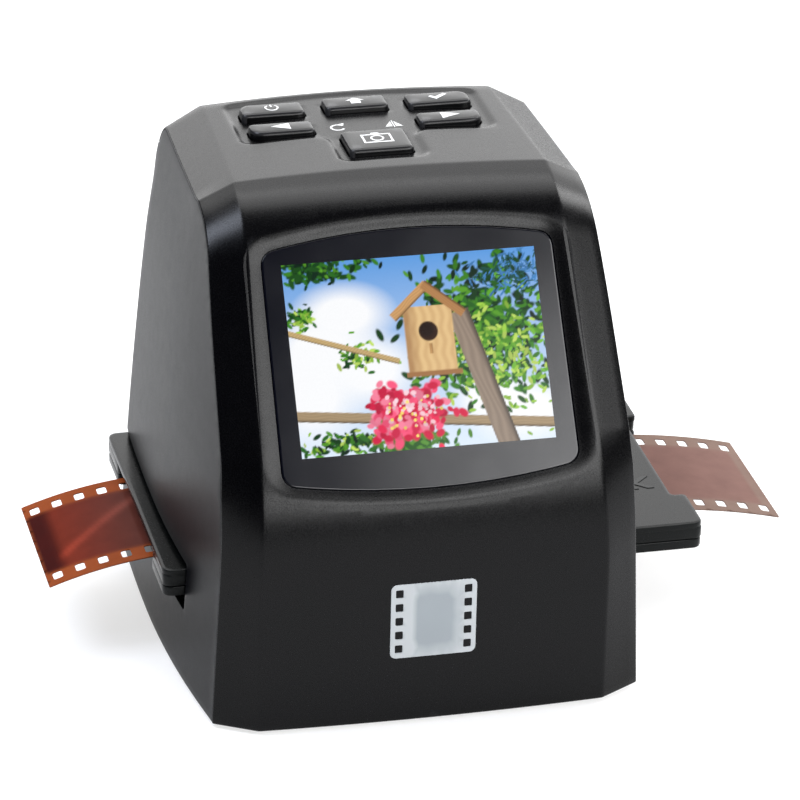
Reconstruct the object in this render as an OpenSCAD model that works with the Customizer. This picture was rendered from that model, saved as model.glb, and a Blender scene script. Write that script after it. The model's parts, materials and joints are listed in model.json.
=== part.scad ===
// Film negative scanner: a small desk-top box with a leaning screen, a keypad on its roof,
// and a slot through both side panels for a hinged film tray.
// +X is the right side, +Y the back, +Z up. The origin is the middle of the base's underside.

/* [Body] */
// Width across the two front corners at the base
body_w = 85.5; // [80:0.5:96]
// Depth of the body at the base, front to back
body_d = 94; // [92:0.5:104]
// Height of the body above the base's underside
body_h = 97; // [95:0.5:108]
// Thickness of the moulded walls
wall = 2.2; // [1.8:0.1:2.6]
// How far the middle of each side panel bows out at the base
side_bow = 4.0; // [2:0.1:5]
// How far each side panel leans in between base and roof
side_lean = 4.4; // [3:0.1:5]
// Width of the front panel between its chamfers
face_w = 69; // [67:0.5:72]
// How much each edge of the front panel draws in towards the roof
face_taper = 3.4; // [2.5:0.1:4]
// How far the middle of the front panel stands proud of its edges
crown = 1.0; // [0.6:0.1:1.2]
// Height of the leaning face, from the bend up to the roof
face_rise = 52.3; // [51:0.1:54]
// Lean of the screen face from upright, in degrees
face_tilt = 34; // [32:0.5:36]
// Radius of the bend below the screen
bend_r = 44; // [38:1:46]
// Radius of the brow above the screen
brow_r = 20; // [16:1:22]
// Radius where the roof turns into the back
rear_top_r = 8; // [6:0.5:8.5]
// Radius of the two upright rear corners
rear_corner_r = 8; // [6:0.5:9]
// How far the back leans forward at the top
rear_lean = 4.6; // [3:0.2:5]
// Set-back of the chamfer on the upright front
chamfer_front = 4.8; // [4:0.1:5.2]
// Set-back of the chamfer beside the screen
chamfer_face = 2.4; // [2.2:0.1:3]
// Set-back of the chamfer along the roof
chamfer_roof = 3.8; // [3:0.1:4]
// How far each shoulder draws in beside the brow
shoulder_draw = 0.6; // [0.2:0.1:1]
// How much more each shoulder draws in towards the back
shoulder_taper = 1.5; // [0.5:0.1:2]
// Gap of the seam between the two shells
seam = 0.15; // [0.1:0.05:0.3]

/* [Screen] */
// Distance from the bend up the face to the middle of the screen
screen_up = 31; // [30:0.25:32]
// Width of the picture area
picture_w = 50; // [48:0.5:51]
// Height of the picture area
picture_h = 37.5; // [36:0.5:38]
// Width of the window at the screen's mid height
window_w = 58; // [57:0.5:59]
// Height of the window at its ends
window_h = 45; // [44:0.5:46]
// Rise of the window's curved top edge
window_top_rise = 3; // [2:0.25:3.5]
// Drop of the window's curved bottom edge
window_bottom_drop = 2.7; // [2:0.25:3.2]
// Width of the dished band around the window
band_w = 3.6; // [3:0.1:4]
// Depth of the window's face behind the panel's edges
window_set = 0.5; // [0.3:0.1:0.7]
// Thickness of the window
window_t = 1.0; // [0.8:0.1:1.2]
// Thickness of the ledge that the window is stuck to
ledge_t = 0.9; // [0.7:0.1:1.1]
// Outer width of the display module
module_w = 60.3; // [59:0.1:61]
// Outer height of the display module
module_h = 42.7; // [42:0.1:44]
// Thickness of the display glass
glass_t = 1.4; // [1.2:0.1:1.6]
// Thickness of the display's lamp unit
lamp_t = 1.8; // [1.4:0.1:2]

/* [Keypad] */
// Depth of the keypad's recess in the roof
recess_depth = 0.6; // [0.4:0.1:0.8]
// How far the keys stand above the floor of the recess
key_rise = 1.5; // [1.2:0.1:1.8]
// Width of a key
key_w = 12.9; // [12:0.1:13.2]
// Depth of a key in the rear row, front to back
rear_key_d = 5.6; // [5:0.1:6]
// Depth of a key in the front row
front_key_d = 5.1; // [4.8:0.1:5.6]
// Depth of the scan key
scan_key_d = 10.2; // [9.5:0.1:10.6]
// Sideways pitch of the three columns of keys
key_pitch = 17; // [16.6:0.1:17.4]
// Travel of a key
key_travel = 0.5; // [0.3:0.1:0.6]
// Clearance around each key
key_gap = 0.25; // [0.2:0.05:0.3]

/* [Film tray] */
// Length of the tray, side to side
tray_l = 110; // [104:0.2:112]
// Depth of the tray, front to back
tray_d = 62.4; // [61:0.2:63]
// Thickness of the closed tray
tray_t = 5.8; // [5.4:0.1:6.2]
// Height of the top of the closed tray
tray_top = 23.3; // [22.8:0.1:23.8]
// How far the tray's middle lies right of the body's middle
tray_shift = 6.7; // [6:0.1:7.4]
// Width of the film
film_w = 35; // [35:0.1:35]
// Length of the film strip, end to end along its curve
film_l = 152; // [150:0.5:154]
// Thickness of the film
film_t = 0.2; // [0.14:0.02:0.3]
// Width of the picture opening in the tray
frame_w = 37; // [36:0.5:38]
// Height of the picture opening in the tray
frame_h = 25; // [24:0.5:26]
// How far the lid can lift inside the slot, in degrees
lid_play = 0.8; // [0.5:0.1:1]

/* [Base and inner parts] */
// Thickness of the base plate
base_t = 2.4; // [2:0.1:3]
// How far the rubber feet reach below the base plate
foot_proud = 0.8; // [0.6:0.1:1.2]
// Radius of a rubber foot
foot_r = 4.5; // [3.5:0.5:5.5]
// Thickness of the circuit boards
board_t = 1.6; // [1.2:0.1:1.8]
// Radius of the self-tapping screws' threads
screw_r = 1.1; // [1:0.05:1.25]
// Radius of the lens barrel
barrel_r = 5; // [4.5:0.25:5.5]
// Outer radius of the lens holder
holder_r = 7.5; // [7:0.25:8]

/* [Hidden] */
$fn = 48;
eps = 0.01;
big = 200;

black = [0.07, 0.07, 0.08];
soft_black = [0.11, 0.11, 0.12];
steel = [0.62, 0.63, 0.65];
board_green = [0.05, 0.30, 0.16];

front_y = -body_d / 2;
rear_y = body_d / 2;
bend_h = body_h - face_rise;
touch = 0.1;
pilot_r = screw_r + 0.03;
clear_r = screw_r + 0.15;

// ---------------------------------------------------------------- body outline

// Outward direction, in the side view, of a surface that leans back by a degrees
function outward(a) = [-cos(a), sin(a)];
function arc_middle(corner, a0, a1, r) =
    corner - r * (outward(a0) + outward(a1)) / (1 + outward(a0) * outward(a1));
function arc_stations(corner, a0, a1, r, n) = [for (i = [0:n])
    let (a = a0 + (a1 - a0) * i / n, p = arc_middle(corner, a0, a1, r) + r * outward(a))
    [p[0], p[1], a]];

// Corners of the side view, each taken in by t
function bend_corner(t) = [front_y + t, bend_h - t * tan(face_tilt / 2)];
function brow_corner(t) =
    [front_y + (t + (body_h - t - bend_h) * sin(face_tilt)) / cos(face_tilt), body_h - t];
function rear_at(z) = rear_y - rear_lean * pow(min(1, max(0, z) / (body_h - rear_top_r)), 3);
function rear_corner(t) = [rear_at(body_h) - t, body_h - t];

// Stations along the side view: y, z and the lean of the surface there
function stations(t, n) = concat(
    [[front_y + t, t > 0 ? -1 : 0, 0], [front_y + t, bend_h * 0.25, 0]],
    arc_stations(bend_corner(t), 0, face_tilt, bend_r - t, n),
    arc_stations(brow_corner(t), face_tilt, 90, brow_r - t, n),
    arc_stations(rear_corner(t), 90, 180, max(rear_top_r - t, 1), ceil(n * 0.7)));

// Half width of the front panel at a station
face_straight_h = 30;
roof_taper = 1.8;
roof_start = brow_corner(0)[0] + brow_r * tan((90 - face_tilt) / 2);
function face_half(p) = face_w / 2
    - face_taper * max(0, p[1] - face_straight_h) / (body_h - face_straight_h)
    - roof_taper * max(0, p[0] - roof_start) / (rear_y - roof_start);

// Half width across the chamfers' outer edges at a height, with the shoulders drawn in
shoulder_h = 27;
function shoulder_in(y, z) =
    pow(max(0, z - body_h + shoulder_h) / (shoulder_h - chamfer_roof), 2)
    * (shoulder_draw + shoulder_taper * max(0, y - roof_start) / (rear_y - roof_start));
function corner_half(z, y = front_y) =
    body_w / 2 - side_lean * min(z, body_h) / body_h - shoulder_in(y, z);

// Set-back of the chamfer on a surface that leans by a
function chamfer_depth(a) = a < face_tilt
    ? chamfer_front + (chamfer_face - chamfer_front) * pow(a / face_tilt, 2)
    : chamfer_face + (chamfer_roof - chamfer_face) * min(1, (a - face_tilt) / (90 - face_tilt));
function corner_edge(p, t) = [p[0], p[1]] - (chamfer_depth(p[2]) - 0.4 * t) * outward(p[2]);

function rib_points(p, t) = let (
        n = outward(p[2]), w = face_half(p) - 0.35 * t, c = corner_edge(p, t),
        o = corner_half(c[1], c[0]) - t)
    concat([for (k = [-2:2]) let (x = k / 2, h = crown * (1 - x * x))
            [x * w, p[0] + h * n[0], p[1] + h * n[1]]],
        [[-o, c[0], c[1]], [o, c[0], c[1]]]);

// Side panel: where its front edge lies at a height, and its bow along the depth
function side_front(z) = front_y + 1
    + max(chamfer_front, (z - bend_h) * tan(face_tilt) + chamfer_face / cos(face_tilt));
bow_peak = 0.55;
bow_loss = 0.3;
rear_bow = 0.6;
function bow_shape(s) = s < bow_peak ? 1 - pow(1 - s / bow_peak, 2)
    : 1 - bow_loss * pow((s - bow_peak) / (1 - bow_peak), 2);
function side_half(y, z) = let (f = side_front(z), s = (y - f) / (rear_at(z) - f))
    corner_half(z, y)
    + side_bow * (1 - pow(z / body_h, 1.5)) * bow_shape(min(1, max(0, s)));

function ring_points(z, t) = let (
        f = side_front(z), r = rear_at(z) - t, cr = rear_corner_r - t,
        steps = [0.14, 0.3, 0.45, 0.6, 0.76], cx = side_half(r - cr, z) - t - cr)
    concat([for (s = steps, m = [-1, 1]) let (y = f + (r - f) * s)
            [m * (side_half(y, z) - t), y, t > 0 && z == 0 ? -1 : z]],
        [for (a = [0:22.5:90], m = [-1, 1])
            [m * (cx + cr * cos(a)), r - cr + cr * sin(a), t > 0 && z == 0 ? -1 : z]],
        [[0, r + rear_bow, t > 0 && z == 0 ? -1 : z]]);

ring_heights = [0, 14, 28, 42, 56, 70, 80, body_h - chamfer_roof - 4];
function body_points(t, n) = concat(
    [for (p = stations(t, n), q = rib_points(p, t)) q],
    [for (z = ring_heights, q = ring_points(z, t)) q]);

module body_solid(t, n) {
    points = body_points(t, n);
    hull() polyhedron(points, [[for (i = [0:len(points) - 1]) i]]);
}

// Everything in front of and above the chamfers' outer edges
module front_region(shift) {
    edge = [for (p = stations(0, 5)) corner_edge(p, 0) - shift * outward(p[2])];
    last = edge[len(edge) - 1];
    rotate([90, 0, 90])
        translate([0, 0, -big / 2])
            linear_extrude(big)
                polygon(concat([[edge[0][0], -10], [-big, -10], [-big, big], [big, big],
                    [big, last[1]]], [for (i = [len(edge) - 1:-1:0]) edge[i]]));
}

// Outline of the body in plan at the base, taken in by t
module base_outline(t) {
    front = [for (k = [-4:4]) let (x = k / 4)
        [x * (face_w / 2 - 0.35 * t), front_y + t - crown * (1 - x * x)]];
    side = [for (q = [0:0.1:0.9]) let (f = front_y + chamfer_front + 0.6 * t,
        y = f + (rear_y - rear_corner_r - f) * q) [side_half(y, 0) - t, y]];
    cx = side_half(rear_y - rear_corner_r, 0) - rear_corner_r;
    corner = [for (a = [0:15:90]) [cx, rear_y - rear_corner_r]
        + (rear_corner_r - t) * [cos(a), sin(a)]];
    polygon(concat(front, side, corner,
        [[0, rear_y + rear_bow - t]],
        [for (i = [len(corner) - 1:-1:0]) [-corner[i][0], corner[i][1]]],
        [for (i = [len(side) - 1:-1:0]) [-side[i][0], side[i][1]]]));
}

// ---------------------------------------------------------------- screen

screen_y = front_y + screen_up * sin(face_tilt);
screen_z = bend_h + screen_up * cos(face_tilt);
ledge_back = window_set + window_t + ledge_t;
display_front = ledge_back + touch;
frame_plate = 0.3;
glass_front = display_front + frame_plate;
lamp_front = glass_front + glass_t;
display_back = lamp_front + lamp_t;
main_board_set = display_back + 2.6;
module_shift = 1.2;
screen_post_x = 33.6;
screen_post_y = 17.5;
screen_post_r = 1.9;

// Puts x along the screen, y up the screen and z into the body
module on_screen(depth = 0) {
    translate([0, screen_y, screen_z])
        rotate([90 - face_tilt, 0, 0])
            mirror([0, 0, 1])
                translate([0, 0, depth])
                    children();
}

// The window's barrel outline, grown by g
module window_outline(g) {
    half = window_w / 2;
    top_r = (half * half + window_top_rise * window_top_rise) / (2 * window_top_rise);
    low_r = (half * half + window_bottom_drop * window_bottom_drop) / (2 * window_bottom_drop);
    low = 1.2;
    offset(r = g + 3)
        offset(delta = -3)
            intersection() {
                polygon([[-half - 0.5, -window_h], [half + 0.5, -window_h],
                    [half - 0.5, window_h], [-half + 0.5, window_h]]);
                translate([0, window_h / 2 - low + window_top_rise - top_r])
                    circle(top_r, $fn = 180);
                translate([0, -window_h / 2 - low - window_bottom_drop + low_r])
                    circle(low_r, $fn = 180);
            }
}

module screen_posts(r, from, to) {
    for (x = [-1, 1], y = [-1, 1])
        translate([x * screen_post_x, y * screen_post_y, from])
            cylinder(r = r, h = to - from);
}

// ---------------------------------------------------------------- keypad

// Height of the crowned roof at a distance x from the middle
function roof_at(x) = body_h + crown * (1 - pow(x / roof_half, 2));
roof_half = 31;
flange_t = 0.8;
flange_reach = 0.7;
flange_gap = 0.3;
switch_h = 3.4;
plunger_r = 1.6;
plunger_in = 0.9;
plunger_proud = key_travel + 0.4;
socket_depth = plunger_in + key_travel + 0.2;
stem_end = body_h - wall - flange_t - 1.6;
keypad_board_top = stem_end - plunger_proud - switch_h;
rear_row_y = 25.5;
front_row_y = rear_row_y - 9.5;
scan_row_y = rear_row_y - 22.1;
recess_half = 25.9;
keypad_post_x = 27.4;
keypad_post_y = [rear_row_y - 18.5, rear_row_y + 7.5];

// A key's place: middle of its front edge, its depth, and the corner that is well rounded
function key_data(name) =
    name == "power" ? [-key_pitch, rear_row_y, rear_key_d, [-1, 1]] :
    name == "up" ? [0, rear_row_y, rear_key_d, [0, 0]] :
    name == "ok" ? [key_pitch, rear_row_y, rear_key_d, [1, 1]] :
    name == "left" ? [-key_pitch, front_row_y, front_key_d, [-1, -1]] :
    name == "right" ? [key_pitch, front_row_y, front_key_d, [1, -1]] :
    [0, scan_row_y, scan_key_d, [0, 0]];
KEYS = ["power", "up", "ok", "left", "right", "scan"];
function key_top(name) = roof_at(key_data(name)[0]) - recess_depth + key_rise;
function flange_top(name) =
    roof_at(abs(key_data(name)[0]) + key_w / 2 + flange_reach) - wall - flange_gap;

CORNERS = [[1, 1], [-1, 1], [-1, -1], [1, -1]];
module key_outline(name, g) {
    k = key_data(name);
    polygon([for (i = [0:3], a = [0:15:90]) let (c = CORNERS[i], r = c == k[3] ? 2.4 : 1.0)
        [k[0] + c[0] * (key_w / 2 - r), k[1] + k[2] / 2 + c[1] * (k[2] / 2 - r)]
        + (r + g) * [cos(a + 90 * i), sin(a + 90 * i)]]);
}

module keypad_outline(g) {
    back_y = rear_row_y + rear_key_d + 4.0;
    low_y = front_row_y - 2.0;
    bow_r = 110;
    offset(r = g - 2.5)
        offset(r = 5)
            offset(r = -2.5)
                union() {
                    intersection() {
                        translate([-recess_half, low_y])
                            square([2 * recess_half, back_y - low_y]);
                        translate([0, back_y + 0.6 - bow_r])
                            circle(bow_r, $fn = 180);
                    }
                    translate([-key_w / 2 - 2.6, scan_row_y - 2.6])
                        square([key_w + 5.2, scan_key_d + 4]);
                }
}

module key_cap(name) {
    k = key_data(name);
    bevel = 0.7;
    top = key_top(name);
    flange = flange_top(name);
    color(black)
        union() {
            hull() {
                translate([0, 0, flange - flange_t / 2])
                    linear_extrude(top - bevel - flange + flange_t / 2)
                        key_outline(name, 0);
                translate([0, 0, top - 0.02])
                    linear_extrude(0.02)
                        key_outline(name, -bevel);
            }
            translate([0, 0, flange - flange_t])
                linear_extrude(flange_t)
                    key_outline(name, flange_reach);
            translate([k[0], k[1] + k[2] / 2, stem_end])
                cylinder(r = 1.4, h = flange - flange_t / 2 - stem_end);
        }
}

module key_plunger(name) {
    k = key_data(name);
    color("dimgray")
        translate([k[0], k[1] + k[2] / 2, stem_end - plunger_proud - plunger_in])
            cylinder(r = plunger_r, h = plunger_proud + plunger_in);
}

module at_keypad_posts() {
    for (x = [-1, 1], y = keypad_post_y)
        translate([x * keypad_post_x, y, 0])
            children();
}

// ---------------------------------------------------------------- film path

tray_back = 37.1;
tray_y = rear_y - tray_back;
tray_low = tray_top - tray_t;
parting = tray_low + 2.1;
film_z = parting + 0.3;
tray_left = tray_shift - tray_l / 2;
tray_right = tray_shift + tray_l / 2;
tray_front = tray_y - tray_d / 2;
tray_rear = tray_y + tray_d / 2;
slot_low = tray_low - 2.9;
lid_lift = tray_d * sin(lid_play);
roof_low = tray_top + lid_lift + 0.2;
slot_high = roof_low + touch;
slot_front = tray_front - 0.7;
slot_rear = tray_rear + 0.7;
guide_top = tray_low - touch;
guide_t = 2.6;
guide_half = corner_half(slot_high) - wall - 1.4;
guide_front = slot_front - 2.6;
guide_rear = rear_at(slot_high) - wall - 0.8;
roof_t = 2;

module at_guide_posts() {
    for (x = [-1, 1], y = [guide_front + 7, guide_rear - 5])
        translate([x * 27, y, 0])
            children();
}

module at_tower_posts() {
    for (x = [-1, 1], y = [-1, 1])
        translate([x * 26, tray_y + y * 14, 0])
            children();
}

// A self-tapping screw standing on its tip, head up
module screw(length, head_r = 2, head_t = 1.2) {
    cylinder(r = screw_r, h = length + eps);
    translate([0, 0, length])
        difference() {
            cylinder(r = head_r, h = head_t);
            for (a = [0, 90])
                rotate([0, 0, a])
                    translate([-head_r * 0.6, -0.25, head_t * 0.45])
                        cube([head_r * 1.2, 0.5, head_t]);
        }
}

// ---------------------------------------------------------------- covers

base_post_h = slot_low - 1.5;
front_post = [30, front_y + wall + 5.5];
rear_post = [37.5, rear_y - 12.5];
rear_rib_end = side_half(rear_post[1], base_post_h) - wall / 2;

module at_front_posts() {
    for (m = [-1, 1])
        translate([m * front_post[0], front_post[1], 0])
            children();
}

module at_rear_posts() {
    for (m = [-1, 1])
        translate([m * rear_post[0], rear_post[1], 0])
            children();
}

module front_cover() color(black)
    difference() {
        union() {
            intersection() {
                difference() {
                    body_solid(0, 6);
                    body_solid(wall, 4);
                }
                front_region(0);
            }
            intersection() {
                union() {
                    on_screen(window_set)
                        linear_extrude(ledge_back - window_set)
                            window_outline(2.4);
                    on_screen(0)
                        screen_posts(screen_post_r, 1, main_board_set);
                    at_keypad_posts()
                        translate([0, 0, keypad_board_top])
                            cylinder(r = 1.9, h = body_h - wall / 2 - keypad_board_top);
                    at_front_posts() {
                        translate([0, 0, base_t + touch])
                            cylinder(r = 2.8, h = base_post_h - base_t);
                        translate([-0.8, -7, base_t + touch])
                            cube([1.6, 5, base_post_h - base_t]);
                    }
                }
                body_solid(wall / 2, 4);
            }
        }
        on_screen(-crown - 1)
            linear_extrude(ledge_back + crown + 2)
                window_outline(-1.8);
        on_screen(-5)
            linear_extrude(window_set + window_t + 5)
                window_outline(0.15);
        screen_dish();
        difference() {
            translate([0, 0, body_h - wall])
                linear_extrude(wall + crown + 1)
                    keypad_outline(0);
            body_solid(recess_depth, 6);
        }
        translate([0, 0, body_h - wall - 1])
            linear_extrude(wall + crown + 2)
                for (name = KEYS)
                    key_outline(name, key_gap);
        on_screen(2)
            screen_posts(pilot_r, 2, main_board_set);
        at_keypad_posts()
            translate([0, 0, keypad_board_top - 1])
                cylinder(r = pilot_r, h = 6);
        at_front_posts()
            translate([0, 0, -1])
                cylinder(r = pilot_r, h = base_post_h - 1);
    }

// The sloped band that leads from the front panel down to the window
module screen_dish() {
    reach = 2.6;
    slope = band_w / (crown / 2 + window_set);
    on_screen(-reach)
        hull() {
            linear_extrude(0.02)
                window_outline(slope * (reach + window_set));
            translate([0, 0, reach + window_set])
                linear_extrude(0.02)
                    window_outline(-0.3);
        }
}

module rear_cover() color(soft_black)
    difference() {
        union() {
            difference() {
                body_solid(0, 6);
                body_solid(wall, 4);
                front_region(seam);
            }
            at_rear_posts() {
                translate([0, 0, base_t + touch])
                    cylinder(r = 2.8, h = base_post_h - base_t);
            }
            for (m = [0, 1])
                mirror([m, 0, 0])
                    translate([rear_post[0] + 2, rear_post[1] - 0.8, base_t + touch])
                        cube([rear_rib_end - rear_post[0] - 2, 1.6, base_post_h - base_t]);
            for (m = [-1, 1])
                translate([m * port_post_x - 3, port_front, port_z - 6])
                    cube([6, rear_at(port_z) - 1 - port_front, 6 - eps]);
        }
        on_screen(0)
            screen_posts(screen_post_r + seam, 1, main_board_set);
        translate([-big / 2, slot_front, slot_low])
            cube([big, slot_rear - slot_front, slot_high - slot_low]);
        at_rear_posts()
            translate([0, 0, -1])
                cylinder(r = pilot_r, h = base_post_h - 1);
        for (m = [-1, 1])
            translate([m * port_post_x, port_front + 3, port_z - 5])
                cylinder(r = pilot_r, h = 6);
        translate([usb_x - usb_w / 2 - 0.4, rear_y - 8, port_z + board_t - 0.3])
            cube([usb_w + 0.8, 12, usb_h + 0.6]);
        translate([jack_x, rear_y - 8, jack_z])
            rotate([-90, 0, 0])
                cylinder(r = 3.2, h = 14);
        translate([card_x - card_w / 2 - 0.4, rear_y - 8, port_z + board_t + 0.9])
            cube([card_w + 0.8, 12, 2.7]);
    }

module base_plate() color(soft_black)
    difference() {
        union() {
            linear_extrude(base_t)
                base_outline(wall + base_gap);
            at_guide_posts()
                translate([0, 0, base_t - eps])
                    cylinder(r = 2.8, h = guide_top - guide_t - base_t + eps);
        }
        at_guide_posts()
            translate([0, 0, base_t])
                cylinder(r = pilot_r, h = guide_top);
        at_front_posts() base_screw_hole();
        at_rear_posts() base_screw_hole();
        at_feet()
            translate([0, 0, -1])
                cylinder(r = foot_r + 0.1, h = 1 + foot_seat);
    }

foot_seat = 0.8;
base_gap = 0.5;
module at_feet() {
    for (x = [-1, 1], y = [front_y + 19, rear_y - 25])
        translate([x * 32, y, 0])
            children();
}

module base_screw_hole() {
    translate([0, 0, -1])
        cylinder(r = clear_r, h = base_t + 2);
    translate([0, 0, -1])
        cylinder(r = 2.3, h = 2.4);
}

module rubber_feet() color([0.13, 0.13, 0.13])
    at_feet()
        translate([0, 0, -foot_proud])
            cylinder(r = foot_r, h = foot_proud + foot_seat);

module base_screws() color(steel) {
    at_front_posts() base_screw();
    at_rear_posts() base_screw();
}

module base_screw() {
    length = 8;
    translate([0, 0, 1.4 + length])
        mirror([0, 0, 1])
            screw(length, 2.1, 1.1);
}

// ---------------------------------------------------------------- display

module screen_window() color([0.10, 0.10, 0.13])
    on_screen(window_set)
        linear_extrude(window_t)
            window_outline(0);

module display_frame() color(steel)
    on_screen(display_front)
        translate([module_shift, 0, 0])
            difference() {
                translate([-module_w / 2, -module_h / 2, 0])
                    cube([module_w, module_h, display_back - display_front]);
                translate([-module_w / 2 + frame_plate, -module_h / 2 + frame_plate, frame_plate])
                    cube([module_w - 2 * frame_plate, module_h - 2 * frame_plate, 10]);
                translate([-picture_w / 2 - 0.6 - module_shift, -picture_h / 2 - 0.6, -1])
                    cube([picture_w + 1.2, picture_h + 1.2, 3]);
            }

module display_slab(from, thickness) {
    side = frame_plate + 0.1;
    on_screen(from)
        translate([module_shift - module_w / 2 + side, -module_h / 2 + side, 0])
            cube([module_w - 2 * side, module_h - 2 * side, thickness]);
}

module display_glass() color([0.25, 0.35, 0.45])
    display_slab(glass_front, glass_t);

module display_lamp() color("white")
    display_slab(lamp_front, lamp_t);

board_low = -24;
board_high = 20.5;
module main_board() color(board_green)
    on_screen(main_board_set)
        difference() {
            translate([-screen_post_x - 1.6, board_low, 0])
                cube([2 * screen_post_x + 3.2, board_high - board_low, board_t]);
            screen_posts(clear_r, -1, 3);
        }

module processor_chip() color([0.05, 0.05, 0.05])
    on_screen(main_board_set + board_t)
        translate([-15, -8, 0])
            cube([14, 14, 1.2]);

module memory_chips() color([0.05, 0.05, 0.05])
    on_screen(main_board_set + board_t)
        for (y = [-14, 2])
            translate([6, y, 0])
                cube([18, 9, 1.1]);

module main_board_screws() color(steel)
    on_screen(main_board_set + board_t)
        for (x = [-1, 1], y = [-1, 1])
            translate([x * screen_post_x, y * screen_post_y, -4.5])
                screw(4.5, 1.6, 0.9);

// ---------------------------------------------------------------- keypad parts

module keypad_board() color(board_green)
    difference() {
        translate([-keypad_post_x - 2, keypad_post_y[0] - 3.5, keypad_board_top - board_t])
            cube([2 * keypad_post_x + 4, keypad_post_y[1] - keypad_post_y[0] + 6, board_t]);
        at_keypad_posts()
            translate([0, 0, keypad_board_top - 3])
                cylinder(r = clear_r, h = 5);
    }

module key_switches() color([0.2, 0.2, 0.22])
    for (name = KEYS) {
        k = key_data(name);
        translate([k[0], k[1] + k[2] / 2, keypad_board_top])
            difference() {
                translate([-2.25, -2.25, 0])
                    cube([4.5, 4.5, switch_h]);
                translate([0, 0, switch_h - socket_depth])
                    cylinder(r = plunger_r + 0.08, h = 3);
            }
    }

module keypad_screws() color(steel)
    at_keypad_posts()
        translate([0, 0, keypad_board_top - board_t + 5])
            mirror([0, 0, 1])
                screw(5, 1.7, 0.9);

module power_key() key_cap("power");
module up_key() key_cap("up");
module ok_key() key_cap("ok");
module left_key() key_cap("left");
module right_key() key_cap("right");
module scan_key() key_cap("scan");
module power_plunger() key_plunger("power");
module up_plunger() key_plunger("up");
module ok_plunger() key_plunger("ok");
module left_plunger() key_plunger("left");
module right_plunger() key_plunger("right");
module scan_plunger() key_plunger("scan");

// ---------------------------------------------------------------- film gate

light_w = frame_w + 5;
light_h = frame_h + 5;

module light_opening(g = 0) {
    translate([-light_w / 2 - g, tray_y - light_h / 2 - g, -big / 2])
        cube([light_w + 2 * g, light_h + 2 * g, big]);
}

module lower_guide() color([0.16, 0.16, 0.17])
    difference() {
        union() {
            translate([-guide_half, guide_front, guide_top - guide_t])
                cube([2 * guide_half, guide_rear - guide_front, guide_t]);
            translate([-guide_half, guide_front, guide_top - eps])
                cube([2 * guide_half, tray_front - 0.4 - guide_front, roof_low - guide_top + eps]);
            translate([-guide_half, tray_rear + 0.4, guide_top - eps])
                cube([2 * guide_half, guide_rear - tray_rear - 0.4, roof_low - guide_top + eps]);
        }
        light_opening();
        at_guide_posts() {
            translate([0, 0, guide_top - guide_t - 1])
                cylinder(r = clear_r, h = guide_t + 2);
            translate([0, 0, guide_top - 1.5])
                cylinder(r = 2.3, h = 3);
        }
        translate([-spring_half - 0.5, guide_front - 1, guide_top + 0.2])
            cube([2 * spring_half + 1, tray_front - guide_front + 2, roof_low - guide_top]);
    }

spring_half = 14;
spring_t = 0.3;
spring_low = 0.3;
notch_w = 5;
notch_d = 0.9;

// Leaf spring whose bump drops into the notch in the tray's front edge
module detent_spring() color("silver")
    translate([0, tray_front - 0.5, tray_low + spring_low])
        linear_extrude(parting - tray_low - 2 * spring_low)
            polygon([[-spring_half, -1.6], [-2.3, 0], [-0.9, notch_d], [0.9, notch_d], [2.3, 0],
                [spring_half, -1.6], [spring_half, -1.6 - spring_t], [2.5, -spring_t],
                [1.0, notch_d - spring_t], [-1.0, notch_d - spring_t],
                [-2.5, -spring_t], [-spring_half, -1.6 - spring_t]]);

module upper_guide() color([0.16, 0.16, 0.17])
    difference() {
        translate([-guide_half, guide_front, roof_low + touch])
            cube([2 * guide_half, guide_rear - guide_front, roof_t]);
        light_opening(-1);
        at_tower_posts()
            translate([0, 0, roof_low])
                cylinder(r = pilot_r, h = 5);
    }

module guide_screws() color(steel)
    at_guide_posts()
        translate([0, 0, guide_top - 1.5 - 6])
            screw(6, 2.1, 1.1);

box_t = 1.2;
box_low = base_t + board_t + touch;
module light_box() color([0.93, 0.93, 0.91])
    difference() {
        translate([-light_w / 2 - box_t, tray_y - light_h / 2 - box_t, box_low])
            cube([light_w + 2 * box_t, light_h + 2 * box_t, guide_top - guide_t - box_low - touch]);
        translate([-light_w / 2 + 1, tray_y - light_h / 2 + 1, box_low + box_t])
            cube([light_w - 2, light_h - 2, 30]);
        translate([-light_w / 2, tray_y - light_h / 2, guide_top - guide_t - diffuser_t])
            cube([light_w, light_h, 30]);
        for (x = [-12, 0, 12], y = [-8, 8])
            translate([x - 2.6, tray_y + y - 2.2, box_low - 1])
                cube([5.2, 4.4, 4]);
    }

diffuser_t = 1.5;
module diffuser() color([0.97, 0.97, 0.97])
    translate([-light_w / 2 + 0.1, tray_y - light_h / 2 + 0.1, guide_top - guide_t - diffuser_t])
        cube([light_w - 0.2, light_h - 0.2, diffuser_t]);

lamp_tab = 6;
module lamp_board() color([0.92, 0.92, 0.9])
    translate([-light_w / 2 - box_t, tray_y - light_h / 2 - box_t - lamp_tab, base_t])
        cube([light_w + 2 * box_t, light_h + 2 * box_t + lamp_tab, board_t]);

module lamp_leds() color([1, 0.93, 0.6])
    for (x = [-12, 0, 12], y = [-8, 8])
        translate([x - 1.75, tray_y + y - 1.4, base_t + board_t])
            cube([3.5, 2.8, 1.2]);

// ---------------------------------------------------------------- camera

tower_low = roof_low + touch + roof_t;
tower_wall = 2;
tower_half = 29;
holder_h = 14;
sensor_gap = 14.1;
sensor_z = keypad_board_top - sensor_gap;
tower_top = sensor_z - holder_h;

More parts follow.
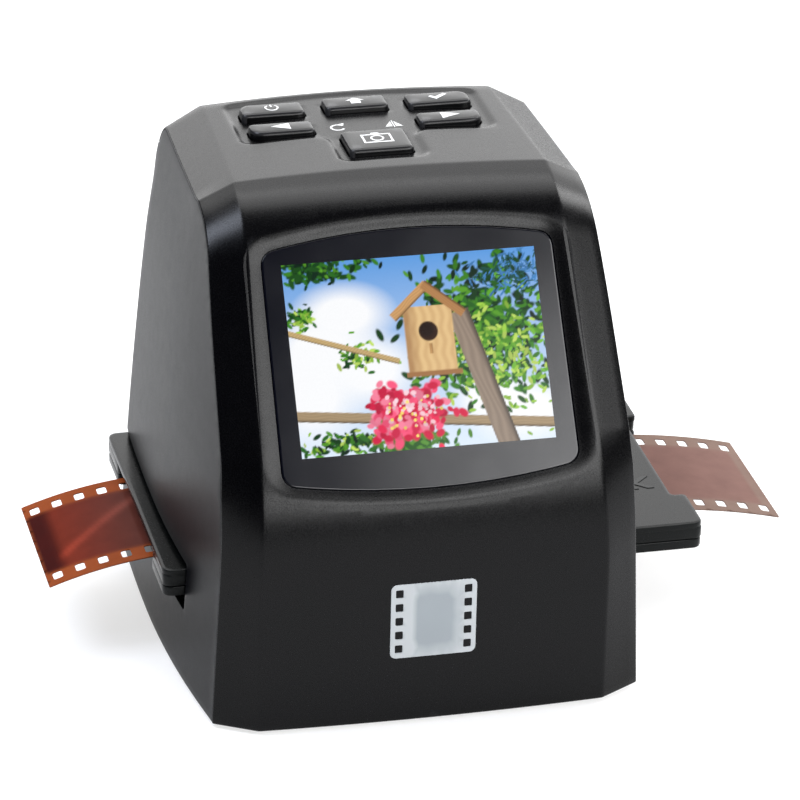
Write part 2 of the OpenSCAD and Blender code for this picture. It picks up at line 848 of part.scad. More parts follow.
module camera_tower() color([0.12, 0.12, 0.13])
    difference() {
        union() {
            translate([-light_w / 2 - tower_wall, tray_y - light_h / 2 - tower_wall, tower_low])
                cube([light_w + 2 * tower_wall, light_h + 2 * tower_wall, tower_top - tower_low]);
            translate([-tower_half, tray_y - light_h / 2 - tower_wall, tower_low])
                cube([2 * tower_half, light_h + 2 * tower_wall, tower_wall]);
        }
        translate([-light_w / 2, tray_y - light_h / 2, tower_low - 1])
            cube([light_w, light_h, tower_top - tower_low - tower_wall + 1]);
        translate([0, tray_y, tower_low])
            cylinder(r = barrel_r + 0.6, h = 60);
        at_tower_posts()
            translate([0, 0, tower_low - 1])
                cylinder(r = clear_r, h = 4);
        for (m = [-1, 1])
            translate([m * 10.5, tray_y, tower_top - 3])
                cylinder(r = pilot_r, h = 4);
    }

module tower_screws() color(steel)
    at_tower_posts()
        translate([0, 0, tower_low + tower_wall - 3.6])
            screw(3.6, 1.9, 1.1);

module lens_holder() color([0.08, 0.08, 0.08])
    difference() {
        union() {
            translate([0, tray_y, tower_top])
                cylinder(r = holder_r, h = holder_h);
            translate([-13, tray_y - 4, tower_top])
                cube([26, 8, 2]);
            translate([-9, tray_y - 9, sensor_z - 3])
                cube([18, 18, 3]);
        }
        translate([0, tray_y, tower_top - 1])
            cylinder(r = barrel_r + 0.05, h = holder_h - 3.5);
        translate([-6.5, tray_y - 6.5, sensor_z - 3.5])
            cube([13, 13, 5]);
        translate([0, tray_y, tower_top - 1])
            cylinder(r = 4.2, h = holder_h);
        for (m = [-1, 1])
            translate([m * 10.5, tray_y, tower_top - 1])
                cylinder(r = clear_r, h = 4);
    }

barrel_low = tower_top - 4;
barrel_h = 12;
lens_r = barrel_r - 1;
module lens_barrel() color([0.05, 0.05, 0.05])
    translate([0, tray_y, barrel_low])
        difference() {
            cylinder(r = barrel_r, h = barrel_h);
            translate([0, 0, -1])
                cylinder(r = lens_r - 0.8, h = barrel_h + 2);
            translate([0, 0, -1])
                cylinder(r = lens_r, h = 3.6);
            translate([0, 0, barrel_h - 2.6])
                cylinder(r = lens_r, h = 3.6);
        }

// A biconvex lens, rim thickness t
module lens(t, bulge) {
    edge = lens_r - 0.05;
    dome_r = (edge * edge + bulge * bulge) / (2 * bulge);
    rotate_extrude()
        intersection() {
            translate([0, -bulge])
                square([edge, t + 2 * bulge]);
            translate([0, dome_r - bulge])
                circle(dome_r, $fn = 96);
            translate([0, t + bulge - dome_r])
                circle(dome_r, $fn = 96);
        }
}

module front_lens() color([0.6, 0.7, 0.85, 0.6])
    translate([0, tray_y, barrel_low + 1.0])
        lens(1.3, 0.5);

module rear_lens() color([0.6, 0.7, 0.85, 0.6])
    translate([0, tray_y, barrel_low + barrel_h - 2.3])
        lens(1.3, 0.5);

module infrared_filter() color([0.5, 0.8, 0.9, 0.6])
    translate([-5.5, tray_y - 5.5, sensor_z - 3.5])
        cube([11, 11, 0.6]);

module sensor_board() color(board_green)
    difference() {
        translate([-13, tray_y - 10, sensor_z])
            cube([26, 20, 1.2]);
        at_sensor_screws()
            translate([0, 0, sensor_z - 1])
                cylinder(r = 0.95, h = 3);
    }

module image_sensor() color([0.15, 0.15, 0.2])
    translate([-5, tray_y - 4.5, sensor_z - 1.5])
        cube([10, 9, 1.5]);

module at_sensor_screws() {
    for (m = [-1, 1])
        translate([m * 7.8, tray_y + m * 7.8, 0])
            children();
}

module sensor_screws() color(steel)
    at_sensor_screws() {
        translate([0, 0, sensor_z + 1.2])
            cylinder(r = 1.5, h = 0.8);
        translate([0, 0, sensor_z])
            cylinder(r = 0.8, h = 1.2 + eps);
    }

// ---------------------------------------------------------------- flat cables

ribbon_t = 0.3;
board_back = main_board_set + board_t + ribbon_t / 2;
keypad_under = keypad_board_top - board_t - ribbon_t / 2;
sensor_over = sensor_z + 1.2 + ribbon_t / 2;
lamp_over = base_t + board_t + ribbon_t / 2;

// A point in the side view: v up the screen, d into the body
function screen_point(v, d) = [screen_y + v * sin(face_tilt) + d * cos(face_tilt),
    screen_z + v * cos(face_tilt) - d * sin(face_tilt)];
function ribbon_edge(p, side) = [for (i = [0:len(p) - 1])
    let (run = p[min(i + 1, len(p) - 1)] - p[max(i - 1, 0)], d = run / norm(run))
    p[i] + side * ribbon_t / 2 * [-d[1], d[0]]];

module ribbon(x, width, points) {
    far = ribbon_edge(points, -1);
    color([0.85, 0.83, 0.78])
        translate([x - width / 2, 0, 0])
            rotate([90, 0, 90])
                linear_extrude(width)
                    polygon(concat(ribbon_edge(points, 1),
                        [for (i = [len(far) - 1:-1:0]) far[i]]));
}

module keypad_ribbon() ribbon(14, 9, [
    [keypad_post_y[0] + 4, keypad_under], [keypad_post_y[0] - 4, keypad_under],
    [keypad_post_y[0] - 9, keypad_under - 1], screen_point(board_high + 1, board_back + 4),
    screen_point(board_high - 2, board_back + 0.6), screen_point(board_high - 4, board_back),
    screen_point(board_high - 8, board_back)]);

module sensor_ribbon() ribbon(2.5, 6, [
    [tray_y - 4, sensor_over], [tray_y - 11, sensor_over], [tray_y - 15, sensor_over - 1],
    screen_point(5, board_back + 3), screen_point(2, board_back + 0.6),
    screen_point(0, board_back), screen_point(-5, board_back)]);

module lamp_ribbon() ribbon(-10, 6, [
    [tray_y - light_h / 2 - box_t - 1, lamp_over], [guide_front - 2.4, lamp_over],
    [guide_front - 6.4, lamp_over + 1.5], [guide_front - 8.4, lamp_over + 6],
    [guide_front - 8.4, bend_h - 8],
    screen_point(board_low - 1, board_back + 2), screen_point(board_low + 2, board_back),
    screen_point(board_low + 7, board_back)]);

// ---------------------------------------------------------------- ports

port_z = body_h - 34.4;
port_board_d = 23;
port_post_x = 31.5;
usb_x = -21;
usb_w = 7.8;
usb_h = 3.2;
jack_x = -7;
card_x = 15;
jack_z = port_z + board_t + 3.3;
port_gap = 0.8;
port_rear = rear_at(port_z + 4) - wall - port_gap;
port_front = port_rear - port_board_d;
card_w = 24.4;
card_depth = 22;
card_wall = 1.2;

module port_board() color(board_green)
    difference() {
        translate([-port_post_x - 2.8, port_front, port_z])
            cube([2 * port_post_x + 5.6, port_rear - port_front, board_t]);
        for (m = [-1, 1])
            translate([m * port_post_x, port_front + 3, port_z - 1])
                cylinder(r = clear_r, h = 4);
    }

module usb_port() color(steel)
    translate([usb_x, port_rear + port_gap + 1, port_z + board_t])
        difference() {
            translate([-usb_w / 2, -10, 0])
                cube([usb_w, 10, usb_h]);
            difference() {
                translate([-3.5, -9, 0.4])
                    cube([7, 12, 2.4]);
                translate([-2.4, -9, 1.2])
                    cube([4.8, 8, 0.7]);
            }
        }

module video_jack() color([0.1, 0.1, 0.1])
    difference() {
        union() {
            translate([jack_x - 3.2, port_rear - 11, port_z + board_t])
                cube([6.4, 11, 6.2]);
            translate([jack_x, port_rear - eps, jack_z])
                rotate([-90, 0, 0])
                    cylinder(r = 2.9, h = 1.8);
        }
        translate([jack_x, port_rear - 10, jack_z])
            rotate([-90, 0, 0])
                cylinder(r = 1.78, h = 20);
    }

module card_slot() color(steel)
    translate([card_x, port_rear, port_z + board_t])
        difference() {
            translate([-card_w / 2 - card_wall, -card_depth - 1, 0])
                cube([card_w + 2 * card_wall, card_depth + 1, 3.4]);
            translate([-card_w / 2, -card_depth, 0.9])
                cube([card_w, card_depth + 8, 2.1]);
        }

module port_screws() color(steel)
    for (m = [-1, 1])
        translate([m * port_post_x, port_front + 3, port_z + board_t - 5.5])
            screw(5.5, 1.7, 0.9);

// ---------------------------------------------------------------- badge

badge_x = -0.5;
badge_z = 22;
badge_w = 17;
badge_h = 16;
module front_badge() color([0.78, 0.79, 0.80])
    translate([badge_x, front_y - crown - 0.05, badge_z])
        rotate([90, 0, 0])
            linear_extrude(0.25)
                difference() {
                    offset(r = 1.2)
                        square([badge_w - 2.4, badge_h - 2.4], center = true);
                    for (x = [-1, 1], y = [-2:2])
                        translate([x * (badge_w / 2 - 1.7), y * 3])
                            square([1.5, 1.7], center = true);
                }

// ---------------------------------------------------------------- tray

arm_w = 13;
notch_depth = 3;
mouth_left = 9.4;
mouth_right = 13.2;
mouth_roof = 1.5;
hinge_r = 1.2;
hinge_y = tray_rear - 1.9;
hinge_z = parting;
pin_x = [tray_left + 12, tray_right - 22];
pin_l = 5;

// Plan of the tray with its film mouths cut back at both ends
module tray_plan(cut_left, cut_right) {
    difference() {
        translate([tray_left + 2, tray_front + 2])
            offset(r = 2)
                square([tray_l - 4, tray_d - 4]);
        translate([tray_left - 1, tray_y - tray_d / 2 + arm_w])
            square([cut_left + 1, tray_d - 2 * arm_w]);
        translate([tray_right - cut_right, tray_y - tray_d / 2 + arm_w])
            square([cut_right + 1, tray_d - 2 * arm_w]);
    }
}

module picture_opening() {
    translate([-frame_w / 2, tray_y - frame_h / 2, tray_low - 1])
        cube([frame_w, frame_h, tray_t + 2]);
}

module film_channel(low, high) {
    translate([tray_left - 1, tray_y - film_w / 2 - 0.2, low])
        cube([tray_l + 2, film_w + 0.4, high - low]);
}

module tray_base() color(black)
    difference() {
        translate([0, 0, tray_low])
            linear_extrude(parting - tray_low)
                tray_plan(mouth_left, mouth_right);
        film_channel(film_z - 0.4, parting + 1);
        picture_opening();
        translate([0, tray_front, tray_low - 1])
            linear_extrude(tray_t)
                polygon([[-notch_w / 2, -1], [notch_w / 2, -1], [1.4, notch_d], [-1.4, notch_d]]);
        for (x = pin_x)
            translate([x - 0.3, hinge_y - hinge_r - 0.9, parting - hinge_r - 0.5])
                cube([pin_l + 0.6, 10, 5]);
        for (x = pin_x)
            translate([x - 2.5, hinge_y, hinge_z])
                rotate([0, 90, 0])
                    cylinder(r = hinge_r + 0.05, h = pin_l + 5);
    }

module tray_lid() color(black)
    difference() {
        union() {
            difference() {
                translate([0, 0, parting + 0.05])
                    linear_extrude(tray_top - parting - 0.05)
                        tray_plan(0, notch_depth);
                for (x = pin_x)
                    translate([x - 3, hinge_y, hinge_z])
                        rotate([0, 90, 0])
                            cylinder(r = hinge_r + 0.3, h = pin_l + 6);
            }
            for (x = pin_x) {
                translate([x, hinge_y - hinge_r, hinge_z])
                    cube([pin_l, 2 * hinge_r, tray_top - hinge_z - 0.4]);
                translate([x - 2.2, hinge_y, hinge_z])
                    rotate([0, 90, 0])
                        cylinder(r = hinge_r, h = pin_l + 4.4);
            }
        }
        film_channel(parting - 1, film_z + 0.4);
        for (x = [[tray_left - 1, mouth_left + 1], [tray_right - mouth_right, mouth_right + 1]])
            translate([x[0], tray_front + arm_w, parting - 1])
                cube([x[1], tray_d - 2 * arm_w, tray_top - mouth_roof - parting + 1]);
        picture_opening();
    }

// ---------------------------------------------------------------- film

droop_left = 86;
droop_right = 130;
flat_left = tray_left + mouth_left;
flat_right = tray_right - mouth_right;
left_share = 0.47;
end_left = (film_l - (flat_right - flat_left)) * left_share;
end_right = (film_l - (flat_right - flat_left)) * (1 - left_share);
perforation_pitch = 4.75;
perforation_w = 1.98;
perforation_h = 2.8;
perforation_row = 28.17;

// Points of the film's middle line: flat in the tray, then drooping along an arc at each end
function film_arc(x, dir, radius, length, n) = [for (i = [0:n])
    let (a = length * i / n / radius * 180 / PI)
    [x + dir * radius * sin(a), film_z - radius * (1 - cos(a)), dir * a]];

module film_strip() color([0.62, 0.30, 0.18, 0.8]) {
    left = film_arc(flat_left, -1, droop_left, end_left, 10);
    right = film_arc(flat_right, 1, droop_right, end_right, 10);
    line = concat([for (i = [10:-1:0]) left[i]], right);
    upper = [for (p = line) [p[0] + film_t / 2 * sin(p[2]), p[1] + film_t / 2 * cos(p[2])]];
    lower = [for (p = line) [p[0] - film_t / 2 * sin(p[2]), p[1] - film_t / 2 * cos(p[2])]];
    difference() {
        translate([0, tray_y + film_w / 2, 0])
            rotate([90, 0, 0])
                linear_extrude(film_w)
                    polygon(concat(upper, [for (i = [len(lower) - 1:-1:0]) lower[i]]));
        for (x = [0:perforation_pitch:film_l / 2], dir = [-1, 1], row = [-1, 1])
            if (x < (dir < 0 ? end_left : end_right) - 2)
                translate([(dir < 0 ? flat_left : flat_right) + dir * (x + 1.5) - perforation_w / 2,
                    tray_y + row * perforation_row / 2 - perforation_h / 2, film_z - 15])
                    cube([perforation_w, perforation_h, 20]);
    }
}

front_cover();
rear_cover();
base_plate();
rubber_feet();
base_screws();
screen_window();
display_frame();
display_glass();
display_lamp();
main_board();
processor_chip();
memory_chips();
main_board_screws();
keypad_board();
key_switches();
keypad_screws();
power_key();
up_key();
ok_key();
left_key();
right_key();
scan_key();
power_plunger();
up_plunger();
ok_plunger();
left_plunger();
right_plunger();
scan_plunger();
lower_guide();
upper_guide();
guide_screws();
detent_spring();
light_box();
diffuser();
lamp_board();
lamp_leds();
camera_tower();
tower_screws();
lens_holder();
lens_barrel();
front_lens();
rear_lens();
infrared_filter();
sensor_board();
image_sensor();
sensor_screws();
keypad_ribbon();
sensor_ribbon();
lamp_ribbon();
port_board();
usb_port();
video_jack();
card_slot();
port_screws();
front_badge();
tray_base();
tray_lid();
film_strip();
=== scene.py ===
"""Film negative scanner: its covers, screen, keys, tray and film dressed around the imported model."""

import json
import logging
import math
from dataclasses import dataclass, field
from enum import Enum
from typing import Callable, Sequence

import bmesh
import bpy
import numpy as np
from mathutils import Matrix, Vector
from mathutils.geometry import delaunay_2d_cdt


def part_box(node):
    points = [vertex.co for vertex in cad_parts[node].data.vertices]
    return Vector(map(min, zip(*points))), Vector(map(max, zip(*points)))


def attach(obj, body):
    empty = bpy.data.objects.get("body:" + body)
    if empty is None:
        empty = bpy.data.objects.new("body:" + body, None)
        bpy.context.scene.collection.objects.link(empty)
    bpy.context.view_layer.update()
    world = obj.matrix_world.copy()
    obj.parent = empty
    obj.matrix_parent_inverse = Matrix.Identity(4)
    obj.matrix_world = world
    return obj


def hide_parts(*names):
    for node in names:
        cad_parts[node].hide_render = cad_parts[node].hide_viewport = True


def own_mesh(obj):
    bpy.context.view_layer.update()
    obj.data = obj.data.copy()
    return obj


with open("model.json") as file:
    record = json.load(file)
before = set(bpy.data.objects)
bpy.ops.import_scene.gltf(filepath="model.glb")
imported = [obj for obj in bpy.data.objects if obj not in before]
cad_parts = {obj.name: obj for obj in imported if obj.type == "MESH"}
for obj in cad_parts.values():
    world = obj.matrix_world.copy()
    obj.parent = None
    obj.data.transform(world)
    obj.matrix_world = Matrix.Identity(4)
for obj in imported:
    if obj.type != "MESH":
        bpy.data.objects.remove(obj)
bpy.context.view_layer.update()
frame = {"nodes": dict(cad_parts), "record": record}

MM = 0.001  # one millimetre in Blender's metres
WELD = 0.002  # points nearer than this become one
SLIVER = 1e-4  # triangles of less than half this area are dropped
SUNK = 0.02  # depth of a print's underside in the surface
SEED = 11  # of the painted leaves and petals

Point2 = tuple[float, float]
Point3 = tuple[float, float, float]
Loops = Sequence[Sequence[Point2]]
Place = Callable[..., Point3]
Socket = bpy.types.NodeSocket

log = logging.getLogger("scanner")


# --- geometry helpers


def blend(a: float, b: float, share: float) -> float:
    """Mixes a and b by share."""
    return a + (b - a) * share


def ease(share: float) -> float:
    """Smooth step of share between 0 and 1."""
    t = min(1.0, max(0.0, share))
    return t * t * (3 - 2 * t)


def curve_through(start: Sequence[float], corner: Sequence[float], end: Sequence[float],
                  steps: int) -> list[Point3]:
    """Rounds a corner with a quadratic curve.

    Args:
        start: Where the rounding begins.
        corner: The sharp corner.
        end: Where the rounding ends.
        steps: Number of pieces of the curve.

    Returns:
        The points of the curve, both ends included.
    """
    a, b, c = np.array(start), np.array(corner), np.array(end)
    spots = [i / steps for i in range(steps + 1)]
    return [tuple((1 - t) ** 2 * a + 2 * t * (1 - t) * b + t * t * c) for t in spots]


def inside(points: np.ndarray, loop: Sequence[Point2]) -> np.ndarray:
    """Tells which points lie inside a closed loop.

    Args:
        points: Rows of x and y.
        loop: Corners of the loop.

    Returns:
        One truth value a point.
    """
    x, y = points[:, 0], points[:, 1]
    found = np.zeros(len(points), bool)
    for (x0, y0), (x1, y1) in zip(loop, list(loop[1:]) + [loop[0]]):
        if y0 == y1:
            continue
        crosses = (y0 > y) != (y1 > y)
        found ^= crosses & (x < (x1 - x0) * (y - y0) / (y1 - y0) + x0)
    return found


def triangulate(loops: Loops, inner: np.ndarray,
                clear: float) -> tuple[np.ndarray, list[tuple[int, ...]]]:
    """Fills the first loop, less the other loops, with triangles.

    Args:
        loops: The outer loop, then the loops of the holes.
        inner: Points to use inside, as rows of two.
        clear: Inner points nearer than this to a loop's point are left out.

    Returns:
        The points, and the triangles as triples of indices.
    """
    rim = np.array([p for loop in loops for p in loop], float)
    edges, start = [], 0
    for loop in loops:
        count = len(loop)
        edges += [(start + i, start + (i + 1) % count) for i in range(count)]
        start += count
    if len(inner):
        keep = inside(inner, loops[0])
        for loop in loops[1:]:
            keep &= ~inside(inner, loop)
        inner = inner[keep]
        gap = np.array([np.min(np.sum((rim - p) ** 2, axis=1)) for p in inner])
        inner = inner[gap > clear * clear] if len(inner) else inner
    flat = np.vstack([rim, inner]) if len(inner) else rim
    verts, _, faces, *_ = delaunay_2d_cdt([Vector(p) for p in flat], edges, [], 0, 1e-7)
    points = np.array([tuple(v) for v in verts])
    corners = points[np.array([tuple(f) for f in faces])]
    one, two = corners[:, 1] - corners[:, 0], corners[:, 2] - corners[:, 0]
    middles = corners.mean(axis=1)
    keep = np.abs(one[:, 0] * two[:, 1] - one[:, 1] * two[:, 0]) > SLIVER
    keep &= inside(middles, loops[0])
    for loop in loops[1:]:
        keep &= ~inside(middles, loop)
    return points, [tuple(f) for f, ok in zip(faces, keep) if ok]


def grid_points(us: Sequence[float], vs: Sequence[float]) -> np.ndarray:
    """Every pair of the two lists, as rows of two."""
    return np.array([(u, v) for v in vs for u in us], float)


def spread(low: float, high: float, step: float) -> list[float]:
    """Evenly spaced values from low to high, about a step apart."""
    return list(np.linspace(low, high, max(2, int(math.ceil(abs(high - low) / step)) + 1)))


@dataclass(frozen=True)
class Outline:
    """A closed outline of straight runs and rounded corners, which can grow or shrink.

    Attributes:
        corners: The sharp corners, counter-clockwise.
        radii: The radius of each corner.
        steps: Pieces of each rounded corner.
        step: The longest piece of a straight run.
    """

    corners: tuple[Point2, ...]
    radii: tuple[float, ...]
    steps: int = 5
    step: float = 1.2

    def _raw(self, grow: float) -> list[np.ndarray]:
        """The corners' points, before the straight runs are divided.

        Args:
            grow: How far the outline moves outwards.

        Returns:
            The points.
        """
        pts = np.array(self.corners, float)
        run = np.roll(pts, -1, 0) - pts
        unit = run / np.linalg.norm(run, axis=1)[:, None]
        out = np.c_[unit[:, 1], -unit[:, 0]]
        result = []
        for i, radius in enumerate(self.radii):
            u0, u1, n0, n1 = unit[i - 1], unit[i], out[i - 1], out[i]
            angle = math.atan2(u0[0] * u1[1] - u0[1] * u1[0], float(u0 @ u1))
            corner = pts[i] + grow * (n0 + n1) / (1 + float(n0 @ n1))
            if radius == 0:
                result.append(corner)
                continue
            way = math.copysign(1.0, angle)
            r = max(radius + grow * way, 0.02)
            begin = corner - u0 * r * math.tan(abs(angle) / 2)
            centre = begin - n0 * r * way
            arm = begin - centre
            for j in range(self.steps + 1):
                c, s = math.cos(angle * j / self.steps), math.sin(angle * j / self.steps)
                result.append(centre + np.array([c * arm[0] - s * arm[1], s * arm[0] + c * arm[1]]))
        return result

    def grown(self, grow: float = 0.0) -> list[Point2]:
        """The outline grown by an amount, with the same number of points each time.

        Args:
            grow: How far the outline moves outwards.

        Returns:
            The points, counter-clockwise.
        """
        base, moved = self._raw(0.0), self._raw(grow)
        points: list[Point2] = []
        for i, (p, q) in enumerate(zip(base, base[1:] + base[:1])):
            parts = max(1, int(math.ceil(float(np.linalg.norm(q - p)) / self.step)))
            a, b = moved[i], moved[(i + 1) % len(moved)]
            points += [tuple(a + (b - a) * k / parts) for k in range(parts)]
        return points


def rectangle(x0: float, x1: float, y0: float, y1: float, radius: float,
              step: float = 1.2) -> Outline:
    """A rectangle with rounded corners, between two x and two y."""
    return Outline(tuple(box_shape(x0, y0, x1, y1)), (radius,) * 4, step=step)


def box_shape(x0: float, y0: float, x1: float, y1: float) -> list[Point2]:
    """The corners of a rectangle, from one corner to the opposite one."""
    return [(x0, y0), (x1, y0), (x1, y1), (x0, y1)]


def turned(x: float, y: float, radius: float, sides: int) -> list[Point2]:
    """Points evenly round a circle."""
    turn = [2 * math.pi * i / sides for i in range(sides)]
    return [(x + radius * math.cos(a), y + radius * math.sin(a)) for a in turn]


class Sheet:
    """A surface gathered from patches and strips, in millimetres."""

    def __init__(self) -> None:
        """Starts with no points and no faces."""
        self.points: list[Point3] = []
        self.faces: list[tuple[int, ...]] = []

    def add(self, points: Sequence[Point3], faces: Sequence[Sequence[int]]) -> None:
        """Adds points, and faces that are given by their numbers."""
        self.faces += [tuple(len(self.points) + i for i in f) for f in faces]
        self.points += [tuple(float(c) for c in p) for p in points]

    def patch(self, place: Place, loops: Loops, inner: np.ndarray,
              clear: float = 0.6) -> None:
        """Fills the first loop less the others, with inner points that stay clear of them."""
        points, faces = triangulate(loops, inner, clear)
        self.add([place(u, v) for u, v in points], faces)

    def strip(self, rows: Sequence[Sequence[Point3]], closed: bool = False) -> None:
        """Joins rows of equally many points with four-sided faces.

        Args:
            rows: The rows, side by side.
            closed: Whether each row runs round to its start.
        """
        count = len(rows[0])
        last = count if closed else count - 1
        faces = [(r * count + i, r * count + (i + 1) % count,
                  (r + 1) * count + (i + 1) % count, (r + 1) * count + i)
                 for r in range(len(rows) - 1) for i in range(last)]
        self.add([p for row in rows for p in row], faces)

    def rim(self, place: Place, outline: Outline, profile: Sequence[Point2]) -> None:
        """Turns a hole's edge into the surface, by pairs of growth and depth."""
        self.strip([[place(u, v, depth) for u, v in outline.grown(grow)]
                    for grow, depth in profile], closed=True)

    def solid(self, outline: Outline, profile: Sequence[Point2], place: Place,
              holes: Sequence[Outline] = (), top: float = 0.0, step: float = 2.0) -> None:
        """Adds a closed body that follows an outline.

        Args:
            outline: The body's outline.
            profile: Pairs of growth and height, from the lower face to the upper face.
            place: Turns two coordinates and a height into a point.
            holes: Outlines of openings right through, whose edges are rounded alike.
            top: Extra height in the middle of the upper face.
            step: Distance between the points inside the faces.
        """
        low, high = profile[0], profile[-1]
        loops = [outline.grown(low[0])] + [h.grown(-low[0]) for h in holes]
        self.patch(lambda u, v: place(u, v, low[1]), loops, np.zeros((0, 2)))
        loops = [outline.grown(high[0])] + [h.grown(-high[0]) for h in holes]
        rim = np.array(loops[0])
        (x0, y0), (x1, y1) = rim.min(0), rim.max(0)
        inner = grid_points(spread(x0, x1, step)[1:-1], spread(y0, y1, step)[1:-1])

        def crowned(u: float, v: float) -> Point3:
            """A point of the upper face, a little higher towards its middle."""
            a, b = 2 * (u - x0) / (x1 - x0) - 1, 2 * (v - y0) / (y1 - y0) - 1
            return place(u, v, high[1] + top * max(0.0, 1 - a * a) * max(0.0, 1 - b * b))

        self.patch(crowned, loops, inner, step * 0.4)
        self.strip([[place(u, v, h) for u, v in outline.grown(g)] for g, h in profile], True)
        for hole in holes:
            self.strip([[place(u, v, h) for u, v in hole.grown(-g)] for g, h in profile], True)

    def tube(self, centre: Point2, profile: Sequence[Point2]) -> None:
        """Adds a closed turned body that stands upright.

        Args:
            centre: Its axis in plan.
            profile: Pairs of radius and height, from the bottom up.
        """
        sides = 24
        rows = [[(x, y, h) for x, y in turned(*centre, r, sides)] for r, h in profile]
        self.strip(rows, True)
        for row in (rows[0], rows[-1]):
            self.add(row, [tuple(range(sides))])

    def build(self, name: str, wall: float = 0.0, heart: Point3 | None = None,
              crease: float = 38.0) -> bpy.types.Object:
        """Makes the object.

        Args:
            name: The piece's name.
            wall: Thickness that an open sheet gets, inwards.
            heart: A point on the inner side of an open sheet.
            crease: Angle in degrees above which an edge stays sharp.

        Returns:
            The new object, in metres.
        """
        mesh = bpy.data.meshes.new(name)
        mesh.from_pydata([tuple(c * MM for c in p) for p in self.points], [], self.faces)
        work = bmesh.new()
        work.from_mesh(mesh)
        bmesh.ops.remove_doubles(work, verts=work.verts, dist=WELD * MM)
        bmesh.ops.dissolve_degenerate(work, edges=work.edges, dist=1e-8)
        bmesh.ops.recalc_face_normals(work, faces=work.faces)
        if heart is not None:
            middle = Vector(heart) * MM
            lean = sum((f.calc_center_median() - middle).dot(f.normal) * f.calc_area()
                       for f in work.faces)
            if lean < 0:
                bmesh.ops.reverse_faces(work, faces=work.faces)
        work.to_mesh(mesh)
        work.free()
        piece = bpy.data.objects.new(name, mesh)
        bpy.context.scene.collection.objects.link(piece)
        if wall:
            harden(piece, wall)
        for face in piece.data.polygons:
            face.use_smooth = True
        piece.data.set_sharp_from_angle(angle=math.radians(crease))
        return piece


def harden(piece: bpy.types.Object, wall: float) -> None:
    """Gives an open sheet a wall and applies it.

    Args:
        piece: The sheet.
        wall: Thickness in millimetres, inwards.
    """
    thick = piece.modifiers.new("wall", "SOLIDIFY")
    thick.thickness = wall * MM
    thick.offset = -1
    bpy.context.view_layer.update()
    seen = piece.evaluated_get(bpy.context.evaluated_depsgraph_get())
    old, piece.data = piece.data, bpy.data.meshes.new_from_object(seen)
    piece.modifiers.clear()
    bpy.data.meshes.remove(old)
    piece.data.name = piece.name


def settle(piece: bpy.types.Object, body: str, finish: "Finish",
           replaces: Sequence[str] = ()) -> None:
    """Gives a piece its finish, its body and the nodes it stands for.

    Args:
        piece: The piece.
        body: The moving body it rides on.
        finish: Its finish.
        replaces: Names of the nodes that it stands for.
    """
    piece.data.materials.clear()
    piece.data.materials.append(finish.material)
    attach(piece, body)
    if replaces:
        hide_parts(*replaces)
    log.info("%s: %d faces on %s", piece.name, len(piece.data.polygons), body)


# --- finishes


Colour = tuple[float, float, float, float]


def shade(red: float, green: float, blue: float) -> Colour:
    """A colour written from 0 to 255 as on a screen, as linear light.

    Args:
        red: The red channel.
        green: The green channel.
        blue: The blue channel.

    Returns:
        The colour, opaque.
    """
    def linear(value: float) -> float:
        """One channel as linear light."""
        c = value / 255
        return c / 12.92 if c <= 0.04045 else ((c + 0.055) / 1.055) ** 2.4
    return linear(red), linear(green), linear(blue), 1.0


def scaled(colour: Colour, factor: float) -> Colour:
    """A colour made darker or brighter."""
    return tuple(c * factor for c in colour[:3]) + (1.0,)


